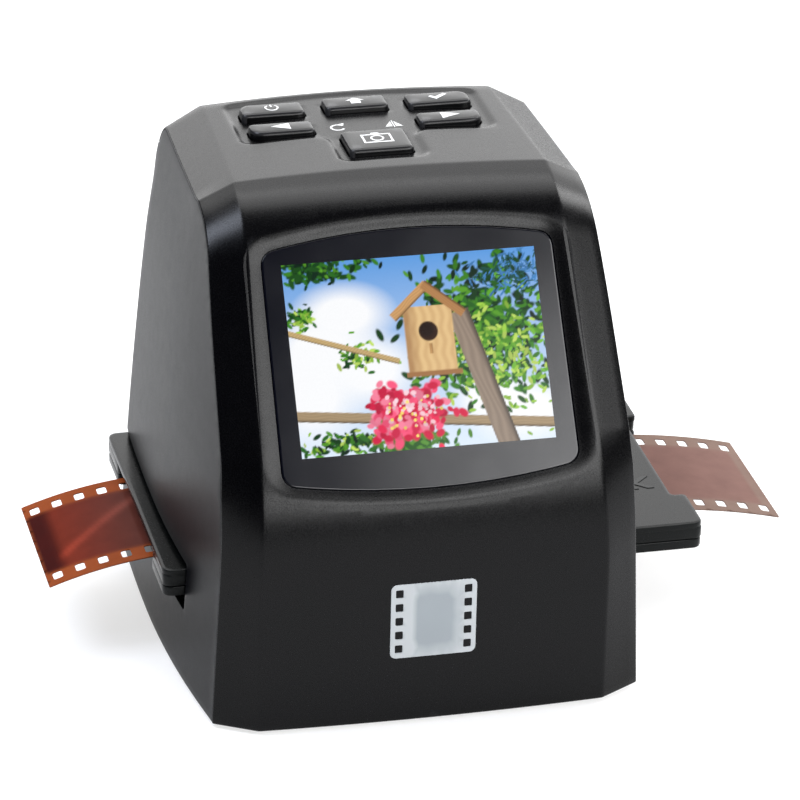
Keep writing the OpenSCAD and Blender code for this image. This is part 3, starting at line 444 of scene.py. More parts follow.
class Nodes:
    """A short way to wire the nodes of one material."""

    def __init__(self, name: str) -> None:
        """Makes an empty material with its output and shader.

        Args:
            name: The material's name.
        """
        self.material = bpy.data.materials.new(name)
        self.material.use_nodes = True
        self.tree = self.material.node_tree
        self.shader = self.tree.nodes["Principled BSDF"]
        self.spot = self.made("ShaderNodeTexCoord", {}, "Object")

    def feed(self, node: bpy.types.Node, index: int | str, value: object) -> None:
        """Sets an input to a number, or joins it to a socket.

        Args:
            node: The node.
            index: Which input.
            value: A number, a colour or a socket.
        """
        socket = node.inputs[index]
        if isinstance(value, Socket):
            self.tree.links.new(value, socket)
        else:
            socket.default_value = value

    def put(self, index: str, value: object) -> None:
        """Feeds an input of the shader."""
        self.feed(self.shader, index, value)

    def made(self, kind: str, inputs: dict[int | str, object], output: int | str = 0,
             **values: object) -> Socket:
        """Adds a node and feeds it.

        Args:
            kind: The node's type.
            inputs: What each of its inputs gets.
            output: Which output is wanted.
            values: Its properties.

        Returns:
            The output.
        """
        node = self.tree.nodes.new(kind)
        for key, value in values.items():
            setattr(node, key, value)
        for index, value in inputs.items():
            self.feed(node, index, value)
        return node.outputs[output]

    def math(self, operation: str, *values: object) -> Socket:
        """Does one sum with numbers or sockets."""
        return self.made("ShaderNodeMath", dict(enumerate(values)), operation=operation)

    def noise(self, size: float, detail: float = 3.0, rough: float = 0.55,
              where: Socket | None = None) -> Socket:
        """Noise from 0 to 1, with lumps of a size in millimetres and finer ones in them."""
        inputs = dict(Vector=where or self.spot, Scale=1 / (size * MM), Detail=detail, Roughness=rough)
        return self.made("ShaderNodeTexNoise", inputs, "Fac")

    def cells(self, size: float) -> Socket:
        """Distance to the nearest of many spots, scattered at a size in millimetres."""
        inputs = {"Vector": self.spot, "Scale": 1 / (size * MM)}
        return self.made("ShaderNodeTexVoronoi", inputs, "Distance")

    def ramp(self, value: Socket, low: float, high: float, out_low: float,
             out_high: float) -> Socket:
        """Maps numbers between low and high to other ones, clamped at both ends."""
        ends = {"From Min": low, "From Max": high, "To Min": out_low, "To Max": out_high}
        return self.made("ShaderNodeMapRange", {"Value": value, **ends}, "Result")

    def patchy(self, size: float, out_low: float, out_high: float) -> Socket:
        """Numbers that wander between two values over patches of a size."""
        return self.ramp(self.noise(size), 0.3, 0.7, out_low, out_high)

    def mix(self, share: object, a: object, b: object) -> Socket:
        """Mixes two colours by the share of the second."""
        return self.made("ShaderNodeMix", {0: share, 6: a, 7: b}, 2, data_type="RGBA")

    def painted(self, layer: str, level: Socket) -> Socket:
        """The colours of the mesh's painted layer, times a level."""
        paint = self.made("ShaderNodeAttribute", {}, "Color", attribute_name=layer)
        return self.made("ShaderNodeVectorMath", {0: paint, "Scale": level}, operation="SCALE")

    def bump(self, height: Socket, depth: float) -> None:
        """Raises the surface by a height from 0 to 1 times a depth in millimetres."""
        inputs = {"Strength": 1.0, "Distance": depth * MM, "Height": height}
        self.put("Normal", self.made("ShaderNodeBump", inputs, "Normal"))


@dataclass(frozen=True)
class Coat:
    """What every finish has.

    Attributes:
        name: Name of its material.
    """

    name: str

    def dress(self, n: Nodes) -> None:
        """Wires the finish, which each kind does in its own way."""
        raise NotImplementedError


@dataclass(frozen=True)
class Plastic(Coat):
    """Moulded plastic with a fine grain, a little mottling and paler, smoother edges.

    Attributes:
        colour: Its colour.
        worn: The colour of its worn edges.
        rough: Its roughness.
        shine: Strength of its reflection.
        ior: Its index, which sets how bright it gets at a grazing angle.
        grain: Size of the grain in millimetres.
        depth: Depth of the grain in millimetres.
        flecks: Share of bright flecks of a spark-eroded texture.
    """

    colour: Colour
    worn: Colour
    rough: float = 0.4
    shine: float = 0.5
    ior: float = 1.5
    grain: float = 0.25
    depth: float = 0.006
    flecks: float = 0.0

    def dress(self, n: Nodes) -> None:
        """Wires grain, mottling, flecks and worn edges.

        Args:
            n: The material's nodes.
        """
        grain = n.noise(self.grain, 4.0, 0.6)
        cloud = n.math("MULTIPLY", n.noise(14.0, 2.0), 0.5)
        sharp = n.made("ShaderNodeNewGeometry", {}, "Pointiness")
        base = n.mix(cloud, self.colour, scaled(self.colour, 1.5))
        base = n.mix(n.ramp(sharp, 0.515, 0.56, 0.0, 0.5), base, self.worn)
        if self.flecks:
            spots = n.ramp(n.cells(self.grain * 2.2), 0.0, 0.22, self.flecks, 0.0)
            base = n.mix(spots, base, self.worn)
        n.put("Base Color", base)
        tone = n.patchy(3.0, self.rough - 0.01, self.rough + 0.015)
        n.put("Roughness", n.math("ADD", tone, n.ramp(grain, 0.35, 0.65, -0.03, 0.04)))
        n.put("Specular IOR Level", self.shine)
        n.put("IOR", self.ior)
        n.bump(grain, self.depth)


@dataclass(frozen=True)
class Metal(Coat):
    """Plated or stamped sheet metal with fine brush lines.

    Attributes:
        colour: Its colour.
        rough: Its roughness.
    """

    colour: Colour
    rough: float = 0.32

    def dress(self, n: Nodes) -> None:
        """Wires the brush lines.

        Args:
            n: The material's nodes.
        """
        stretch = {"Vector": n.spot, "Scale": (1.0, 12.0, 12.0)}
        lines = n.noise(1.6, 4.0, 0.6, n.made("ShaderNodeMapping", stretch, "Vector"))
        n.put("Base Color", n.mix(lines, scaled(self.colour, 0.72), self.colour))
        n.put("Roughness", n.ramp(lines, 0.3, 0.7, self.rough - 0.08, self.rough + 0.1))
        n.put("Metallic", 1.0)
        n.bump(lines, 0.004)


@dataclass(frozen=True)
class Laminate(Coat):
    """A circuit board: solder mask over copper tracks.

    Attributes:
        mask: Colour of the mask.
        track: Colour where copper lies under it.
    """

    mask: Colour
    track: Colour

    def dress(self, n: Nodes) -> None:
        """Wires the tracks under the mask.

        Args:
            n: The material's nodes.
        """
        lines = {"Vector": n.spot, "Scale": 420.0, "Mortar Size": 0.09, "Mortar Smooth": 0.1}
        tracks = n.math("GREATER_THAN", n.noise(2.4, 1.0), 0.52)
        share = n.math("MULTIPLY", n.made("ShaderNodeTexBrick", lines, "Fac"), tracks)
        n.put("Base Color", n.mix(share, self.mask, self.track))
        n.put("Roughness", n.patchy(0.6, 0.28, 0.42))
        n.bump(share, 0.03)


@dataclass(frozen=True)
class Clear(Coat):
    """Glass or a clear filter, with a faint tint of its coating.

    Attributes:
        tint: Colour of the light that passes.
        rough: Its roughness.
    """

    tint: Colour
    rough: float = 0.03

    def dress(self, n: Nodes) -> None:
        """Wires the tint and the clear glass.

        Args:
            n: The material's nodes.
        """
        n.put("Base Color", n.mix(n.noise(4.0), scaled(self.tint, 0.9), self.tint))
        n.put("Roughness", n.patchy(1.5, self.rough, self.rough + 0.03))
        n.put("Transmission Weight", 0.85)
        n.put("IOR", 1.5)


@dataclass(frozen=True)
class Glow(Coat):
    """A part that is lit from behind: its own colour gives light too.

    Attributes:
        colour: Its colour.
        light: Strength of its own light.
    """

    colour: Colour
    light: float

    def dress(self, n: Nodes) -> None:
        """Wires the colour as surface and as light.

        Args:
            n: The material's nodes.
        """
        pale = tuple(min(1.0, c) for c in scaled(self.colour, 1.15))
        tone = n.mix(n.noise(2.5), self.colour, pale)
        n.put("Base Color", tone)
        n.put("Emission Color", tone)
        n.put("Emission Strength", self.light)
        n.put("Roughness", n.patchy(0.5, 0.4, 0.55))
        n.bump(n.noise(0.3), 0.003)


@dataclass(frozen=True)
class Gloss(Coat):
    """The polished black border of the window.

    Attributes:
        colour: Its colour.
        rough: Its roughness.
        shine: Strength of its reflection.
    """

    colour: Colour
    rough: float
    shine: float

    def dress(self, n: Nodes) -> None:
        """Wires the polish and its faint smears.

        Args:
            n: The material's nodes.
        """
        n.put("Base Color", n.mix(n.noise(18.0), scaled(self.colour, 0.7), self.colour))
        smear = n.noise(9.0, 4.0)
        n.put("Roughness", n.ramp(smear, 0.35, 0.7, self.rough, self.rough + 0.03))
        n.put("Specular IOR Level", self.shine)
        n.bump(n.noise(6.0, 2.0), 0.002)


@dataclass(frozen=True)
class Picture(Coat):
    """The lit picture area: painted colours that give their own light under a polished face.

    Attributes:
        layer: The colour layer of the mesh.
        light: Strength of the light.
    """

    layer: str
    light: float

    def dress(self, n: Nodes) -> None:
        """Wires the painted light and the dark polished face.

        Args:
            n: The material's nodes.
        """
        dots = n.ramp(n.noise(0.4, 1.0), 0.2, 0.8, 0.97, 1.0)
        n.put("Emission Color", n.painted(self.layer, dots))
        n.put("Emission Strength", self.light)
        n.put("Base Color", shade(8, 8, 10))
        n.put("Specular IOR Level", 0.08)
        n.put("Roughness", n.ramp(n.noise(9.0, 4.0), 0.35, 0.7, 0.1, 0.14))


@dataclass(frozen=True)
class FilmBase(Coat):
    """Negative film: a painted base with frames, faintly cloudy and nearly opaque.

    Attributes:
        layer: The colour layer of the mesh.
        opacity: Share of light that the film stops.
        shine: Strength of its reflection.
        ior: Its index, low so that it stays dark at a grazing angle.
    """

    layer: str
    opacity: float
    shine: float = 0.06
    ior: float = 1.12

    def dress(self, n: Nodes) -> None:
        """Wires the painted colours and the film's sheen.

        Args:
            n: The material's nodes.
        """
        n.put("Base Color", n.painted(self.layer, n.patchy(5.0, 0.92, 1.08)))
        n.put("Roughness", n.patchy(2.0, 0.16, 0.26))
        n.put("Alpha", self.opacity)
        n.put("Specular IOR Level", self.shine)
        n.put("IOR", self.ior)
        n.bump(n.noise(8.0, 2.0), 0.02)


class Finish(Enum):
    """Every finish on the scanner."""

    SHELL = Plastic("shell_plastic", shade(2, 2, 3), shade(24, 24, 26), rough=0.26,
                    shine=0.16, grain=0.28, depth=0.008, flecks=0.16)
    SIDE = Plastic("side_plastic", shade(9, 9, 12), shade(44, 44, 48), rough=0.34,
                   shine=0.2, ior=1.25, grain=0.22, depth=0.002)
    BASE = Plastic("base_plastic", shade(26, 26, 28), shade(60, 60, 62), rough=0.5, grain=0.4,
                   depth=0.015)
    KEY = Plastic("key_plastic", shade(8, 8, 9), shade(60, 60, 62), rough=0.22, shine=0.18,
                  grain=0.2, depth=0.002)
    TRAY = Plastic("tray_plastic", shade(3, 4, 4), shade(36, 38, 38), rough=0.24, shine=0.1,
                   grain=0.3, depth=0.004)
    INNER = Plastic("inner_plastic", shade(32, 32, 34), shade(70, 70, 72), rough=0.5)
    WHITE = Plastic("white_plastic", shade(226, 226, 222), shade(240, 240, 238), rough=0.45)
    RUBBER = Plastic("foot_rubber", shade(30, 30, 31), shade(70, 70, 70), rough=0.75, shine=0.3,
                     grain=0.5, depth=0.03)
    CHIP = Plastic("chip_resin", shade(24, 24, 25), shade(60, 60, 60), rough=0.55, grain=0.15)
    PRINT = Plastic("white_print", shade(178, 178, 178), shade(190, 190, 190), rough=0.5,
                    depth=0.002)
    BADGE = Plastic("badge_print", shade(134, 141, 146), shade(205, 208, 210), rough=0.34,
                    grain=0.15, depth=0.002)
    RIBBON = Plastic("ribbon_plastic", shade(222, 218, 205), shade(240, 240, 235), rough=0.4)
    WINDOW = Gloss("window_border", shade(7, 8, 16), 0.13, 0.27)
    STEEL = Metal("plated_steel", shade(196, 198, 202))
    BOARD = Laminate("circuit_board", shade(14, 84, 48), shade(42, 122, 74))
    LENS = Clear("lens_glass", shade(222, 232, 244))
    FILTER = Clear("filter_glass", shade(178, 226, 236))
    LAMP = Glow("lamp_resin", shade(255, 240, 190), 0.6)
    DISPLAY = Glow("display_panel", shade(90, 110, 140), 0.1)
    PICTURE = Picture("lit_picture", "paint", 1.0)
    FILM = FilmBase("film_base", "paint", 0.98)

    @property
    def material(self) -> bpy.types.Material:
        """The finish's material, made when it is first asked for.

        Returns:
            The material.
        """
        name = self.value.name
        if name not in bpy.data.materials:
            self.value.dress(Nodes(name))
        return bpy.data.materials[name]


SLOT_FINISH = {
    "shell_black": Finish.SHELL, "gloss_black": Finish.TRAY, "key_black": Finish.KEY,
    "window": Finish.WINDOW, "display": Finish.DISPLAY, "white_plastic": Finish.WHITE,
    "inner_black": Finish.INNER, "steel": Finish.STEEL, "board": Finish.BOARD,
    "chip": Finish.CHIP, "rubber": Finish.RUBBER, "lens": Finish.LENS,
    "filter": Finish.FILTER, "lamp": Finish.LAMP, "ribbon": Finish.RIBBON,
    "badge": Finish.BADGE, "film": Finish.FILM,
}


def dress_nodes() -> None:
    """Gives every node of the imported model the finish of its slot."""
    for part in frame["record"]["subparts"]:
        finish = SLOT_FINISH[part["material_slot"]]
        node = frame["nodes"][part["node"]]
        if part["node"] == "base_plate":
            finish = Finish.BASE
        node.data.materials.clear()
        node.data.materials.append(finish.material)
        for face in node.data.polygons:
            face.use_smooth = True
        node.data.set_sharp_from_angle(angle=math.radians(30))
    log.info("%d nodes dressed", len(frame["nodes"]))


# --- the body's shape


@dataclass
class BodyShape:
    """The outer shape of the scanner's body, in millimetres.

    Attributes:
        width: Width across the front corners at the base.
        depth: Depth at the base.
        height: Height above the base.
        side_bow: Bow of each side at the base.
        side_lean: Lean of each side from base to roof.
        face_w: Width of the front panel at the base.
        face_taper: Draw-in of each edge of the front panel.
        roof_taper: Further draw-in along the roof.
        crown: Bulge of the front panel.
        bend_h: Height of the bend.
        tilt: Lean of the screen face in degrees.
        bend_r: Radius of the bend.
        brow_r: Radius of the brow.
        crease: Lean in degrees at which the brow meets the roof in a crease.
        top_r: Radius from the roof to the back.
        corner_r: Radius of the rear corners.
        rear_lean: Lean of the back at the top.
        rear_bow: Bow of the back.
        face_straight: Height up to which the front panel's edges are upright.
        bow_peak: Share of the depth at which the sides bow most.
        bow_rear: Share of the bow that is lost at the back.
        shoulder_h: Height above which the shoulders draw in.
        draws: Draw-in of the shoulders at the brow, and what the back adds.
        chamfers: Set-back of the chamfers at the front, beside the screen and on the roof.
        cut: Depth of the rear corner where side and back patches meet.
        turn_h: Height over which the rear corner turns from round to chamfered.
        soft: Length over which the chamfer's edge turns at the crease.
        parts: Points on each bend of the side view.
        spots: The side view: length, y, z and lean of each point.
    """

    width: float = 85.5
    depth: float = 94.0
    height: float = 97.0
    side_bow: float = 4.0
    side_lean: float = 4.4
    face_w: float = 69.0
    face_taper: float = 3.4
    roof_taper: float = 1.8
    crown: float = 1.0
    bend_h: float = 44.7
    tilt: float = 34.0
    bend_r: float = 44.0
    brow_r: float = 20.0
    crease: float = 76.0
    top_r: float = 8.0
    corner_r: float = 8.0
    rear_lean: float = 4.6
    rear_bow: float = 0.6
    face_straight: float = 30.0
    bow_peak: float = 0.55
    bow_rear: float = 0.3
    shoulder_h: float = 70.0
    draws: Point2 = (0.6, 1.5)
    chamfers: tuple[float, float, float] = (4.8, 2.4, 3.8)
    cut: float = 3.8
    turn_h: float = 14.0
    soft: float = 8.0
    parts: int = 60
    spots: np.ndarray = field(init=False)

    def __post_init__(self) -> None:
        """Works out the side view once."""
        self.front = -self.depth / 2
        self.rear = self.depth / 2
        self.lean = math.radians(self.tilt)
        bend = np.array([self.front, self.bend_h])
        over = (self.height - self.bend_h) * math.tan(self.lean)
        brow = np.array([self.front + over, self.height])
        self.roof_start = brow[0] + self.brow_r * math.tan(math.radians(90 - self.tilt) / 2)
        back = np.array([self.rear_at(self.height), self.height])
        rows = [(self.front, 0.0, 0.0)]
        for corner, a0, a1, r in ((bend, 0, self.tilt, self.bend_r),
                                  (brow, self.tilt, 90, self.brow_r),
                                  (back, 90, 180, self.top_r)):
            n0, n1 = self.outward(a0), self.outward(a1)
            middle = corner - r * (n0 + n1) / (1 + float(n0 @ n1))
            end = self.crease if a1 == 90 else a1
            for a in np.linspace(a0, end, self.parts):
                y, z = middle + r * self.outward(a)
                rows.append((y, z, a))
            if end < a1:
                y += (self.height - z) * math.tan(math.radians(end))
                rows += [(y, self.height, end), (y + 0.001, self.height, a1)]
                self.crease_row = len(rows) - 2
        table = np.array(rows)
        runs = np.hypot(np.diff(table[:, 0]), np.diff(table[:, 1]))
        self.spots = np.c_[np.r_[0, np.cumsum(runs)], table]
        self.length = float(self.spots[-1, 0])
        self.crease_s = float(self.spots[self.crease_row, 0])

    @staticmethod
    def outward(a: float) -> np.ndarray:
        """Outward direction in the side view where the surface leans by a degrees."""
        return np.array([-math.cos(math.radians(a)), math.sin(math.radians(a))])

    def rear_at(self, z: float) -> float:
        """Where the back lies at a height."""
        rise = min(1.0, max(0.0, z) / (self.height - self.top_r))
        return self.rear - self.rear_lean * rise ** 3

    def spot(self, s: float) -> tuple[float, float, float]:
        """Point y and z and lean of the side view at a length s along it."""
        lengths, *columns = self.spots.T
        return tuple(float(np.interp(s, lengths, column)) for column in columns)

    def half(self, s: float) -> float:
        """Half width of the front panel.

        Args:
            s: Length along the side view.

        Returns:
            The half width.
        """
        y, z, _ = self.spot(s)
        rise = max(0.0, z - self.face_straight) / (self.height - self.face_straight)
        return self.face_w / 2 - self.face_taper * rise - self.roof_taper * self.roof_share(y)

    def roof_share(self, y: float) -> float:
        """Share of the way from the roof's start to the back."""
        return max(0.0, y - self.roof_start) / (self.rear - self.roof_start)

    def panel(self, x: float, s: float, depth: float = 0.0) -> Point3:
        """A point of the front panel.

        Args:
            x: Sideways.
            s: Length along the side view.
            depth: Distance below the surface.

        Returns:
            The point.
        """
        y, z, a = self.spot(s)
        w = self.half(s)
        n = self.outward(a)
        h = self.crown * (1 - (x / w) ** 2) - depth
        return x, y + h * n[0], z + h * n[1]

    def chamfer_depth(self, a: float) -> float:
        """Set-back of the chamfer.

        Args:
            a: Lean of the panel in degrees.

        Returns:
            The set-back.
        """
        front, face, roof = self.chamfers
        if a < self.tilt:
            return front + (face - front) * (a / self.tilt) ** 2
        return face + (roof - face) * min(1.0, (a - self.tilt) / (90 - self.tilt))

    def edge(self, s: float, shift: float = 0.0) -> Point2:
        """Outer edge of the chamfer in the side view.

        Args:
            s: Length along the side view.
            shift: How far the edge is moved inwards.

        Returns:
            Its y and z.
        """
        y, z, a = self.spot(s)
        into = (s - self.crease_s) / self.soft + 0.5
        if 0 < into < 1:
            a = blend(self.spot(self.crease_s - self.soft / 2)[2], 90.0, into)
        n = self.outward(a)
        d = self.chamfer_depth(a) + shift
        return y - d * n[0], z - d * n[1]

    def side_front(self, z: float) -> float:
        """Where a side panel begins at a height."""
        slope = (z - self.bend_h) * math.tan(self.lean) + self.chamfers[1] / math.cos(self.lean)
        return self.front + 1 + max(self.chamfers[0], slope)

    def side_half(self, y: float, z: float) -> float:
        """Half width of the body between its side panels.

        Args:
            y: Depth.
            z: Height.

        Returns:
            The half width.
        """
        f, r = self.side_front(z), self.rear_at(z)
        s = min(1.0, max(0.0, (y - f) / (r - f)))
        if s < self.bow_peak:
            shape = 1 - (1 - s / self.bow_peak) ** 2
        else:
            shape = 1 - self.bow_rear * ((s - self.bow_peak) / (1 - self.bow_peak)) ** 2
        lean = self.width / 2 - self.side_lean * min(z, self.height) / self.height
        share = min(1.0, max(0.0, z) / self.height)
        return lean - self.draw(y, z) + self.side_bow * (1 - share ** 1.5) * shape

    def draw(self, y: float, z: float) -> float:
        """How far the shoulder is drawn in.

        Args:
            y: Depth.
            z: Height.

        Returns:
            The draw-in.
        """
        over = self.height - self.chamfers[2] - self.shoulder_h
        rise = max(0.0, z - self.shoulder_h) / over
        return rise * rise * (self.draws[0] + self.draws[1] * self.roof_share(y))

    def morph(self, z: float) -> float:
        """How far the rear corner has turned from round to chamfered at a height."""
        top = self.height - self.top_r
        return ease((z - top + self.turn_h) / self.turn_h)

    def rear_edge(self, z: float) -> float:
        """Where side and back patches meet."""
        return self.rear_at(z) - self.cut

    def side(self, way: float, y: float, z: float, depth: float = 0.0) -> Point3:
        """A point of a side panel.

        Args:
            way: -1 for the left panel, 1 for the right one.
            y: Depth.
            z: Height.
            depth: Distance below the surface.

        Returns:
            The point.
        """
        into = y - (self.rear_at(z) - self.corner_r)
        drop = 0.0
        if into > 0:
            r = self.corner_r
            into = min(into, r * 0.98)
            drop = (r - math.sqrt(r * r - into * into)) * (1 - self.morph(z))
        return way * (self.side_half(y, z) - drop - depth), y, z

    def back_half(self, z: float) -> float:
        """Half width at which side and back patches meet."""
        return self.side(1.0, self.rear_edge(z), z)[0]

    def back(self, x: float, z: float, depth: float = 0.0) -> Point3:
        """A point of the back.

        Args:
            x: Sideways.
            z: Height.
            depth: Distance below the surface.

        Returns:
            The point.
        """
        m = self.morph(z)
        r, cut = self.corner_r, self.cut
        reach = math.sqrt(r * r - (r - cut) ** 2)
        edge = self.back_half(z)
        start = blend(edge - reach, self.half(self.length), m)
        q = min(1.0, max(0.0, (abs(x) - start) / (edge - start)))
        arc = r - math.sqrt(max(0.0, r * r - (q * reach) ** 2))
        drop = blend(arc, cut * q, m)
        bow = blend(self.rear_bow, self.crown, m) * max(0.0, 1 - (x / start) ** 2)
        return x, self.rear_at(z) - drop + bow - depth, z


BODY = BodyShape()


# --- covers


@dataclass
class Screen:
    """The display: its window, border, picture and the dish around it.

    Attributes:
        up: Distance from the bend up the face to the middle.
        picture: Width and height of the picture area.
        window: Width and height of the window.
        rise: Rise of the curved top edge.
        drop: Drop of the curved bottom edge.
        low: How far the window's middle lies below the picture's.
        band: Width of the dished band.
        set_back: Depth of the window's face.
        thick: Thickness of the window.
        gap: Gap around the window.
        corner_r: Radius of the window's corners.
        flare: How much wider the bottom is than the middle, and the top narrower.
    """

    up: float = 31.0
    picture: Point2 = (50.0, 37.5)
    window: Point2 = (58.0, 45.0)
    rise: float = 3.0
    drop: float = 2.7
    low: float = 1.2
    band: float = 3.6
    set_back: float = 0.5
    thick: float = 1.0
    gap: float = 0.15
    corner_r: float = 3.0
    flare: float = 0.25

    def __post_init__(self) -> None:
        """Works out the screen's place."""
        s, c = math.sin(BODY.lean), math.cos(BODY.lean)
        self.upward, self.inward = np.array([0, s, c]), np.array([0, c, -s])
        self.middle = np.array([0, BODY.front, BODY.bend_h]) + self.up * self.upward
        table = BODY.spots
        rise = ((table[:, 1] - self.middle[1]) * self.upward[1]
                + (table[:, 2] - self.middle[2]) * self.upward[2])
        part = slice(int(np.argmin(rise)), int(np.argmax(rise)) + 1)
        self.rise_table = rise[part]
        self.length_table = table[part, 0]

    def place(self, x: float, v: float, depth: float = 0.0) -> Point3:
        """A point at x and v on the screen's plane, depth below it."""
        p = self.middle + v * self.upward + depth * self.inward
        return x, float(p[1]), float(p[2])

    def on_panel(self, x: float, v: float) -> Point2:
        """The front panel's coordinates above a point of the screen."""
        return x, float(np.interp(v, self.rise_table, self.length_table))

    def outline(self) -> Outline:
        """The window's outline: straight sides, curved top and bottom.

        Returns:
            The outline.
        """
        half, h = self.window[0] / 2, self.window[1] / 2
        parts = 10
        spots = [2 * i / parts - 1 for i in range(parts + 1)]
        under = [(x * (half + self.flare), -h - self.low - self.drop * (1 - x * x)) for x in spots]
        over = [(-x * (half - self.flare), h - self.low + self.rise * (1 - x * x)) for x in spots]
        radii = [self.corner_r] + [0.0] * (parts - 1) + [self.corner_r]
        return Outline(tuple(under + over), tuple(radii + radii), step=1.3)

    def dish(self, sheet: Sheet) -> list[Point2]:
        """Adds the sloped band, the pocket and the ledge to the front cover.

        Args:
            sheet: The front cover.

        Returns:
            The hole's outline on the front panel.
        """
        outline = self.outline()
        wide, tight = self.band, self.gap
        rows = []
        for t in np.linspace(0, 1, 10):
            row = []
            for x, v in outline.grown(blend(wide, tight, t)):
                top = np.array(BODY.panel(*self.on_panel(x, v)))
                drop = float((top - self.middle) @ self.inward)
                depth = blend(drop, self.set_back, 0.45 * t + 0.55 * ease(t))
                row.append(self.place(x, v, depth))
            rows.append(row)
        rows[0] = [BODY.panel(*self.on_panel(x, v)) for x, v in outline.grown(wide)]
        for grow, depth in ((tight - 0.03, 0.07), (tight - 0.04, 0.3), (tight - 0.04, 1.0),
                            (-0.6, 1.0), (-1.8, 1.0)):
            rows.append([self.place(x, v, self.set_back + depth)
                         for x, v in outline.grown(grow)])
        sheet.strip(rows, closed=True)
        return [self.on_panel(x, v) for x, v in outline.grown(wide)]

    def build(self) -> None:
        """Makes the window's border and the lit picture."""
        def face(x: float, v: float, height: float) -> Point3:
            """A point of the window at a height above its back."""
            return self.place(x, v, self.set_back + self.thick - height)

        t = self.thick
        border = Sheet()
        border.solid(self.outline(), ((-0.2, 0.0), (0.0, 0.2), (0.0, t - 0.22), (-0.06, t - 0.08),
                                      (-0.2, t), (-0.4, t), (-1.2, t)), face, step=3.0)
        settle(border.build("window_border", crease=50), "housing",
               Finish.WINDOW, ["screen_window"])
        self.paint_picture(face)

    def paint_picture(self, face: Place) -> None:
        """Makes the picture area with a garden scene in colour.

        Args:
            face: Turns screen coordinates and a height into a point.
        """
        w, h = self.picture
        colours = Painting(w, h).paint()
        rows, columns = colours.shape[:2]
        lift, sheet = 0.02, Sheet()
        xs, vs = np.linspace(-w / 2, w / 2, columns), np.linspace(-h / 2, h / 2, rows)
        sheet.strip([[face(x, v, self.thick + lift) for x in xs] for v in vs])
        piece = sheet.build("lit_picture", wall=lift + 0.05, heart=self.place(0, 0, 20))
        paint_layer(piece, lambda p: sample(colours, (p[0] + w / 2) / w, (
            float((np.array(p) - self.middle) @ self.upward) + h / 2) / h))
        settle(piece, "housing", Finish.PICTURE)


def sample(colours: np.ndarray, u: float, v: float) -> np.ndarray:
    """The painted colour at shares u and v of the picture's width and height."""
    row, column = ((n - 1) * min(1.0, max(0.0, t)) for n, t in zip(colours.shape, (v, u)))
    return colours[int(round(row)), int(round(column))]


def paint_layer(piece: bpy.types.Object, colour_at: Callable[[Point3], Sequence[float]]) -> None:
    """Stores a colour at each point of a mesh.

    Args:
        piece: The object.
        colour_at: Gives the colour at a point in millimetres.
    """
    layer = piece.data.color_attributes.new("paint", "FLOAT_COLOR", "POINT")
    values = np.ones((len(piece.data.vertices), 4), np.float32)
    for i, vertex in enumerate(piece.data.vertices):
        values[i, :3] = colour_at(tuple(c / MM for c in vertex.co))
    layer.data.foreach_set("color", values.ravel())


